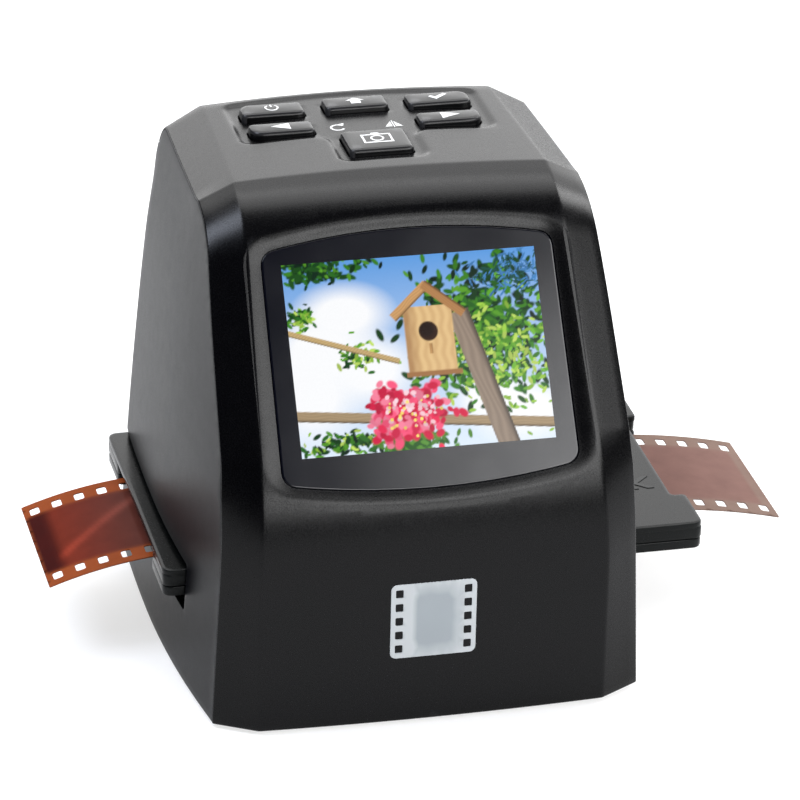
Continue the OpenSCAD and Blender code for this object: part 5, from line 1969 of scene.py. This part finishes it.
@dataclass
class Tray:
    """The film tray: a base and a hinged lid.

    Attributes:
        arm: Width of the arms beside the film mouths.
        mouths: Length of the left and right film mouths.
        notch: Depth of the lid's notch at the right end.
        opening: Picture opening.
        parting: Height above the tray's underside where lid and base meet.
        roof: Thickness of the lid over the mouths.
        soft: Rounding of the edges.
    """

    arm: float = 13.0
    mouths: Point2 = (9.4, 13.2)
    notch: float = 3.0
    opening: Point2 = (37.0, 25.0)
    parting: float = 2.1
    roof: float = 1.5
    soft: float = 0.35

    def __post_init__(self) -> None:
        """Takes the tray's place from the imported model."""
        lo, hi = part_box("tray_base")
        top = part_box("tray_lid")[1]
        self.x0, self.x1, self.y0, self.y1 = (c / MM for c in (lo.x, hi.x, lo.y, hi.y))
        self.low, self.high = lo.z / MM, top.z / MM
        self.middle = (self.y0 + self.y1) / 2
        self.split = self.low + self.parting

    def plan(self, left: float, right: float) -> Outline:
        """The tray's plan with its ends cut back between the arms.

        Args:
            left: Depth of the left cut.
            right: Depth of the right cut.

        Returns:
            The outline.
        """
        a, b = self.y0 + self.arm, self.y1 - self.arm
        corners: list[Point2] = [(self.x0, self.y0), (self.x1, self.y0)]
        radii = [2.0, 2.0]
        if right:
            corners += [(self.x1, a), (self.x1 - right, a), (self.x1 - right, b), (self.x1, b)]
            radii += [1.0, 1.0, 1.0, 1.0]
        corners += [(self.x1, self.y1), (self.x0, self.y1)]
        radii += [2.0, 2.0]
        if left:
            corners += [(self.x0, b), (self.x0 + left, b), (self.x0 + left, a), (self.x0, a)]
            radii += [1.0, 1.0, 1.0, 1.0]
        return Outline(tuple(corners), tuple(radii), step=4.0)

    def slab(self, low: float, high: float) -> tuple[Point2, ...]:
        """A slab with rounded edges.

        Args:
            low: Height of its underside.
            high: Height of its top.

        Returns:
            Its growths and heights, from below.
        """
        s = self.soft
        flat = -s - 0.4
        return ((flat, low), (-s, low), (-s * 0.3, low + s * 0.3), (0.0, low + s),
                (0.0, high - s), (-s * 0.3, high - s * 0.3), (-s, high), (flat, high))

    def build(self) -> None:
        """Makes base, lid and the lid's mark."""
        w, h = self.opening[0] / 2, self.opening[1] / 2
        window = rectangle(-w, w, self.middle - h, self.middle + h, 0.8, 4.0)
        base = Sheet()
        base.solid(self.plan(*self.mouths), self.slab(self.low, self.split - 0.02),
                   lambda u, v, z: (u, v, z), [window], step=6.0)
        settle(base.build("tray_bottom"), "tray", Finish.TRAY,
               ["tray_base"])
        lid = Sheet()
        lid.solid(self.plan(0.0, self.notch), self.slab(self.high - self.roof, self.high),
                  lambda u, v, z: (u, v, z), [window], step=6.0)
        under = self.high - self.roof + 0.4
        for y0, y1 in ((self.y0, self.y0 + self.arm), (self.y1 - self.arm, self.y1)):
            bar = rectangle(self.x0, self.x1, y0, y1, 1.6, 4.0)
            lid.solid(bar, self.slab(self.split + 0.07, under), lambda u, v, z: (u, v, z),
                      step=6.0)
        settle(lid.build("tray_cover"), "lid", Finish.TRAY,
               ["tray_lid"])
        self.mark()

    def mark(self) -> None:
        """Raises a plain arrow on the lid's right end, which shows the way in."""
        x, y = self.x1 - 9.5, self.middle - 12.0
        chevrons = ((-3.4, -0.6, 0.8, -2.0, 0.8, -0.6), (-0.2, 2.6, 4.0, 1.2, 4.0, 2.6))
        shapes = [[(x + u, y + v) for u, v in zip(us, (0.0, -2.6, -2.6, 0.0, 2.6, 2.6))]
                  for us in chevrons]
        piece = stamp("lid_mark", shapes, lambda u, v, h: (u, v, self.high + h), thick=0.12)
        settle(piece, "lid", Finish.TRAY)


@dataclass
class Film:
    """The film strip: flat in the tray and drooping at both ends.

    Attributes:
        width: Width of the film.
        length: Length along its curve.
        thick: Thickness.
        droop: Radius of the left and right ends.
        share: Part of the free length on the left.
        pitch: Pitch of the perforations.
        hole: Length and width of a perforation.
        rows: Distance between the rows of perforations.
        picture: Length and width of a frame.
        frame_pitch: Distance between the middles of two frames.
        corner: Radius of a frame's corners.
        band: Middle of the painted shadow band where the film passes under the lid, from the left end.
        streak: Start of the light streak, from the left end, and its slope.
    """

    width: float = 35.0
    length: float = 152.0
    thick: float = 0.2
    droop: Point2 = (86.0, 130.0)
    share: float = 0.47
    pitch: float = 4.75
    hole: Point2 = (1.98, 2.8)
    rows: float = 28.17
    picture: Point2 = (36.0, 24.4)
    frame_pitch: float = 38.0
    corner: float = 1.0
    band: float = 27.5
    streak: Point2 = (13.0, 0.9)

    def __post_init__(self) -> None:
        """Takes the film's place from the tray."""
        tray = Tray()
        self.flat = (tray.x0 + tray.mouths[0], tray.x1 - tray.mouths[1])
        self.middle = tray.middle
        self.z = tray.split + 0.3
        spare = self.length - (self.flat[1] - self.flat[0])
        self.ends = (self.flat[0] - spare * self.share, self.flat[1] + spare * (1 - self.share))

    def place(self, s: float, y: float, height: float = 0.0) -> Point3:
        """A point of the film.

        Args:
            s: Length along the film, equal to x in its flat part.
            y: Depth.
            height: Distance above the middle of its thickness.

        Returns:
            The point.
        """
        way, start, radius = 0.0, s, 1.0
        if s < self.flat[0]:
            way, start, radius = -1.0, self.flat[0], self.droop[0]
        elif s > self.flat[1]:
            way, start, radius = 1.0, self.flat[1], self.droop[1]
        a = abs(s - start) / radius
        x = start + way * radius * math.sin(a) + way * math.sin(a) * height
        return x, y, self.z - radius * (1 - math.cos(a)) + math.cos(a) * height

    def colour(self, s: float, y: float) -> np.ndarray:
        """The film's colour: base, frames, a light streak, a dark left tip, darker towards the tray, a
        painted shadow band under the lid and painted light on the right end.

        Args:
            s: Length along the film.
            y: Depth.

        Returns:
            The colour.
        """
        left = s < (self.flat[0] + self.flat[1]) / 2
        # The right end's paler, greyer tones are painted light: a lit copy of the same film's colours.
        rebate = np.array(shade(128, 62, 30) if left else shade(104, 86, 78))
        frame_tone = np.array(shade(100, 34, 20) if left else shade(102, 77, 71))
        dark = np.array(shade(74, 42, 36) if left else shade(88, 64, 60))
        reach, half = s - self.ends[0], self.frame_pitch / 2
        fx = self.picture[0] / 2 - abs((reach + 1.0) % self.frame_pitch - half)
        fy = self.picture[1] / 2 - abs(y - self.middle)
        near, corner = min(fx, fy), self.corner
        if fx < corner and fy < corner:
            near = corner - math.hypot(corner - fx, corner - fy)
        tone = blend(frame_tone, dark, ease(reach / 26.0 - 0.05) if left else
                     ease((self.ends[1] - s) / 40.0))
        start, slope = self.streak
        glow = math.exp(-((y - self.middle - slope * (reach - start)) / 1.5) ** 2)
        tone = tone * (1 + 0.9 * glow * (1 if left else 0.15))
        # Near-black red at the film's left tip, and a painted shadow band where the film passes under
        # the lid's end.
        if left:
            clear = min(reach - 3.0, abs(reach - self.band) - 2.0)
            tone = blend(np.array(shade(52, 6, 4)), tone, ease(clear / 3.0))
        return blend(rebate, tone, ease(near / 0.5 + 0.5))[:3]

    def build(self) -> None:
        """Makes the film with its perforations."""
        half = self.width / 2
        s0, s1 = self.ends
        outline = rectangle(s0, s1, self.middle - half, self.middle + half, 0.3, 1.5)
        holes = []
        count = int((s1 - s0) / self.pitch)
        first = s0 + (s1 - s0 - (count - 1) * self.pitch) / 2
        for i in range(count):
            for way in (-1, 1):
                s, y = first + i * self.pitch, self.middle + way * self.rows / 2
                holes.append(rectangle(s - self.hole[0] / 2, s + self.hole[0] / 2,
                                       y - self.hole[1] / 2, y + self.hole[1] / 2, 0.45))
        inner = grid_points(spread(s0, s1, 0.9), spread(self.middle - half, self.middle + half, 0.9))
        loops = [outline.grown()] + [h.grown() for h in holes]
        sheet = Sheet()
        points, faces = triangulate(loops, inner, 0.3)
        for height in (self.thick / 2, -self.thick / 2):
            sheet.add([self.place(s, y, height) for s, y in points], faces)
        for loop in loops:
            sheet.strip([[self.place(s, y, h) for s, y in loop]
                         for h in (self.thick / 2, -self.thick / 2)], closed=True)
        piece = sheet.build("film_negative", crease=40)
        paint_layer(piece, lambda p: self.colour(self.along(p), p[1]))
        settle(piece, "film", Finish.FILM, ["film_strip"])
        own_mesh(piece)

    def along(self, p: Point3) -> float:
        """Length along the film.

        Args:
            p: A point of the film.

        Returns:
            The length.
        """
        if p[0] < self.flat[0]:
            return self.flat[0] - self.droop[0] * math.asin((self.flat[0] - p[0]) / self.droop[0])
        if p[0] > self.flat[1]:
            return self.flat[1] + self.droop[1] * math.asin((p[0] - self.flat[1]) / self.droop[1])
        return p[0]


# --- studio


@dataclass(frozen=True)
class SoftBox:
    """A soft lamp that faces the scanner.

    Attributes:
        name: The lamp's name.
        azimuth: Direction in degrees, right of the front.
        elevation: Height angle in degrees.
        far: Distance in metres.
        size: Width and height in metres.
        power: Power in watts.
        colour: Colour of the light.
    """

    name: str
    azimuth: float
    elevation: float
    far: float
    size: Point2
    power: float
    colour: Colour = (1.0, 1.0, 1.0, 1.0)

    def hang(self) -> None:
        """Hangs the lamp."""
        az, el = math.radians(self.azimuth), math.radians(self.elevation)
        way = Vector((math.sin(az) * math.cos(el), -math.cos(az) * math.cos(el), math.sin(el)))
        data = bpy.data.lights.new(self.name, "AREA")
        data.shape = "RECTANGLE"
        data.size, data.size_y = self.size
        data.energy = self.power
        data.color = self.colour[:3]
        lamp = bpy.data.objects.new(self.name, data)
        bpy.context.scene.collection.objects.link(lamp)
        lamp.location = Vector((0, 0, 0.05)) + way * self.far
        lamp.rotation_euler = way.to_track_quat("Z", "Y").to_euler()


LAMPS = (SoftBox("roof_box", 161, 36, 1.5, (2.7, 1.9), 53),
         SoftBox("top_box", 165, 72, 1.4, (1.3, 0.6), 14),
         SoftBox("left_box", -92, 58, 1.5, (0.5, 0.7), 18, (0.80, 0.86, 1.0, 1.0)),
         SoftBox("right_box", 39, 31, 1.5, (1.0, 0.6), 20),
         SoftBox("lip_box", 12, 17, 1.5, (0.6, 0.36), 9),
         SoftBox("edge_box", 105, 38, 1.5, (0.4, 0.5), 9))


@dataclass
class Studio:
    """Pale floor, soft lamps and the camera.

    Attributes:
        azimuth: Direction of the camera, in degrees left of the front.
        elevation: Its height angle.
        roll: Its roll.
        distance: Distance to the target in millimetres.
        shift: Sideways and upward shift of the target in millimetres.
        target: The point that the camera looks at.
        focal: Focal length over the picture's width.
        sensor: Width of the camera's sensor in millimetres.
        reach: Half width of the floor in metres.
        glow: Light that the floor adds to its own, as seen by the camera and in mirrors.
        horizon: Strength of the room's light at the horizon and overhead.
    """

    azimuth: float = -13.907
    elevation: float = 25.739
    roll: float = 1.331
    distance: float = 920.0
    shift: Point2 = (2.583, -12.391)
    target: Point3 = (0.0, -27.0, 45.0)
    focal: float = 4730.05 / 800.0
    sensor: float = 36.0
    reach: float = 3.0
    glow: float = 0.66
    horizon: Point2 = (0.6, 0.15)

    def camera(self) -> None:
        """Places the camera at the viewing angle."""
        az, el, roll = (math.radians(v) for v in (self.azimuth, self.elevation, self.roll))
        back = np.array([math.sin(az) * math.cos(el), -math.cos(az) * math.cos(el), math.sin(el)])
        right = np.array([math.cos(az), math.sin(az), 0])
        up = np.cross(back, right)
        across = math.cos(roll) * right + math.sin(roll) * up
        above = -math.sin(roll) * right + math.cos(roll) * up
        spot = (np.array(self.target) + self.distance * back
                - self.shift[0] * across - self.shift[1] * above) * MM
        data = bpy.data.cameras.new("camera")
        data.sensor_width = self.sensor
        data.lens = self.focal * self.sensor
        data.clip_start, data.clip_end = 0.05, 20
        camera = bpy.data.objects.new("camera", data)
        bpy.context.scene.collection.objects.link(camera)
        turn = Matrix((across, above, back)).transposed()
        camera.matrix_world = Matrix.Translation(spot) @ turn.to_4x4()
        bpy.context.scene.camera = camera

    def floor(self) -> None:
        """Lays the pale floor that the scanner stands on."""
        level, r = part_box("rubber_feet")[0].z, self.reach
        mesh = bpy.data.meshes.new("floor")
        mesh.from_pydata([(-r, -r, level), (r, -r, level), (r, r, level), (-r, r, level)], [],
                         [(0, 1, 2, 3)])
        floor = bpy.data.objects.new("floor", mesh)
        bpy.context.scene.collection.objects.link(floor)
        n = Nodes("floor_paper")
        tone = n.mix(n.noise(60.0), shade(164, 164, 164), shade(170, 170, 170))
        n.put("Base Color", tone)
        n.put("Roughness", n.patchy(5.0, 0.85, 0.95))
        n.put("Specular IOR Level", 0.1)
        seen, *others = (n.made("ShaderNodeLightPath", {}, ray) for ray in (
            "Is Camera Ray", "Is Glossy Ray", "Is Transmission Ray"))
        for ray in others:
            seen = n.math("MAXIMUM", seen, ray)
        n.put("Emission Color", (1.0, 1.0, 1.0, 1.0))
        n.put("Emission Strength", n.math("MULTIPLY", seen, self.glow))
        mesh.materials.append(n.material)

    def world(self) -> None:
        """Gives a dim room with a pale horizon."""
        world = bpy.data.worlds.new("room")
        bpy.context.scene.world = world
        world.use_nodes = True
        tree = world.node_tree
        back = tree.nodes["Background"]
        spot = tree.nodes.new("ShaderNodeTexCoord")
        split = tree.nodes.new("ShaderNodeSeparateXYZ")
        ramp = tree.nodes.new("ShaderNodeMapRange")
        ramp.interpolation_type = "SMOOTHSTEP"
        tree.links.new(spot.outputs["Generated"], split.inputs[0])
        tree.links.new(split.outputs["Z"], ramp.inputs["Value"])
        low, high = self.horizon
        for key, number in (("From Min", 0.05), ("From Max", 0.35), ("To Min", low),
                            ("To Max", high)):
            ramp.inputs[key].default_value = number
        tree.links.new(ramp.outputs["Result"], back.inputs["Strength"])

    def build(self) -> None:
        """Sets up the whole studio."""
        bpy.context.scene.view_settings.view_transform = "Standard"
        self.camera()
        self.floor()
        self.world()
        for lamp in LAMPS:
            lamp.hang()


def main() -> None:
    """Builds every piece in order and reports it."""
    logging.basicConfig(level=logging.INFO, format="%(name)s: %(message)s")
    Studio().build()
    dress_nodes()
    screen, keypad = Screen(), Keypad()
    Covers(screen, keypad).build()
    screen.build()
    keypad.build()
    Badge().build()
    Tray().build()
    Film().build()


if __name__ == "__main__":
    main()
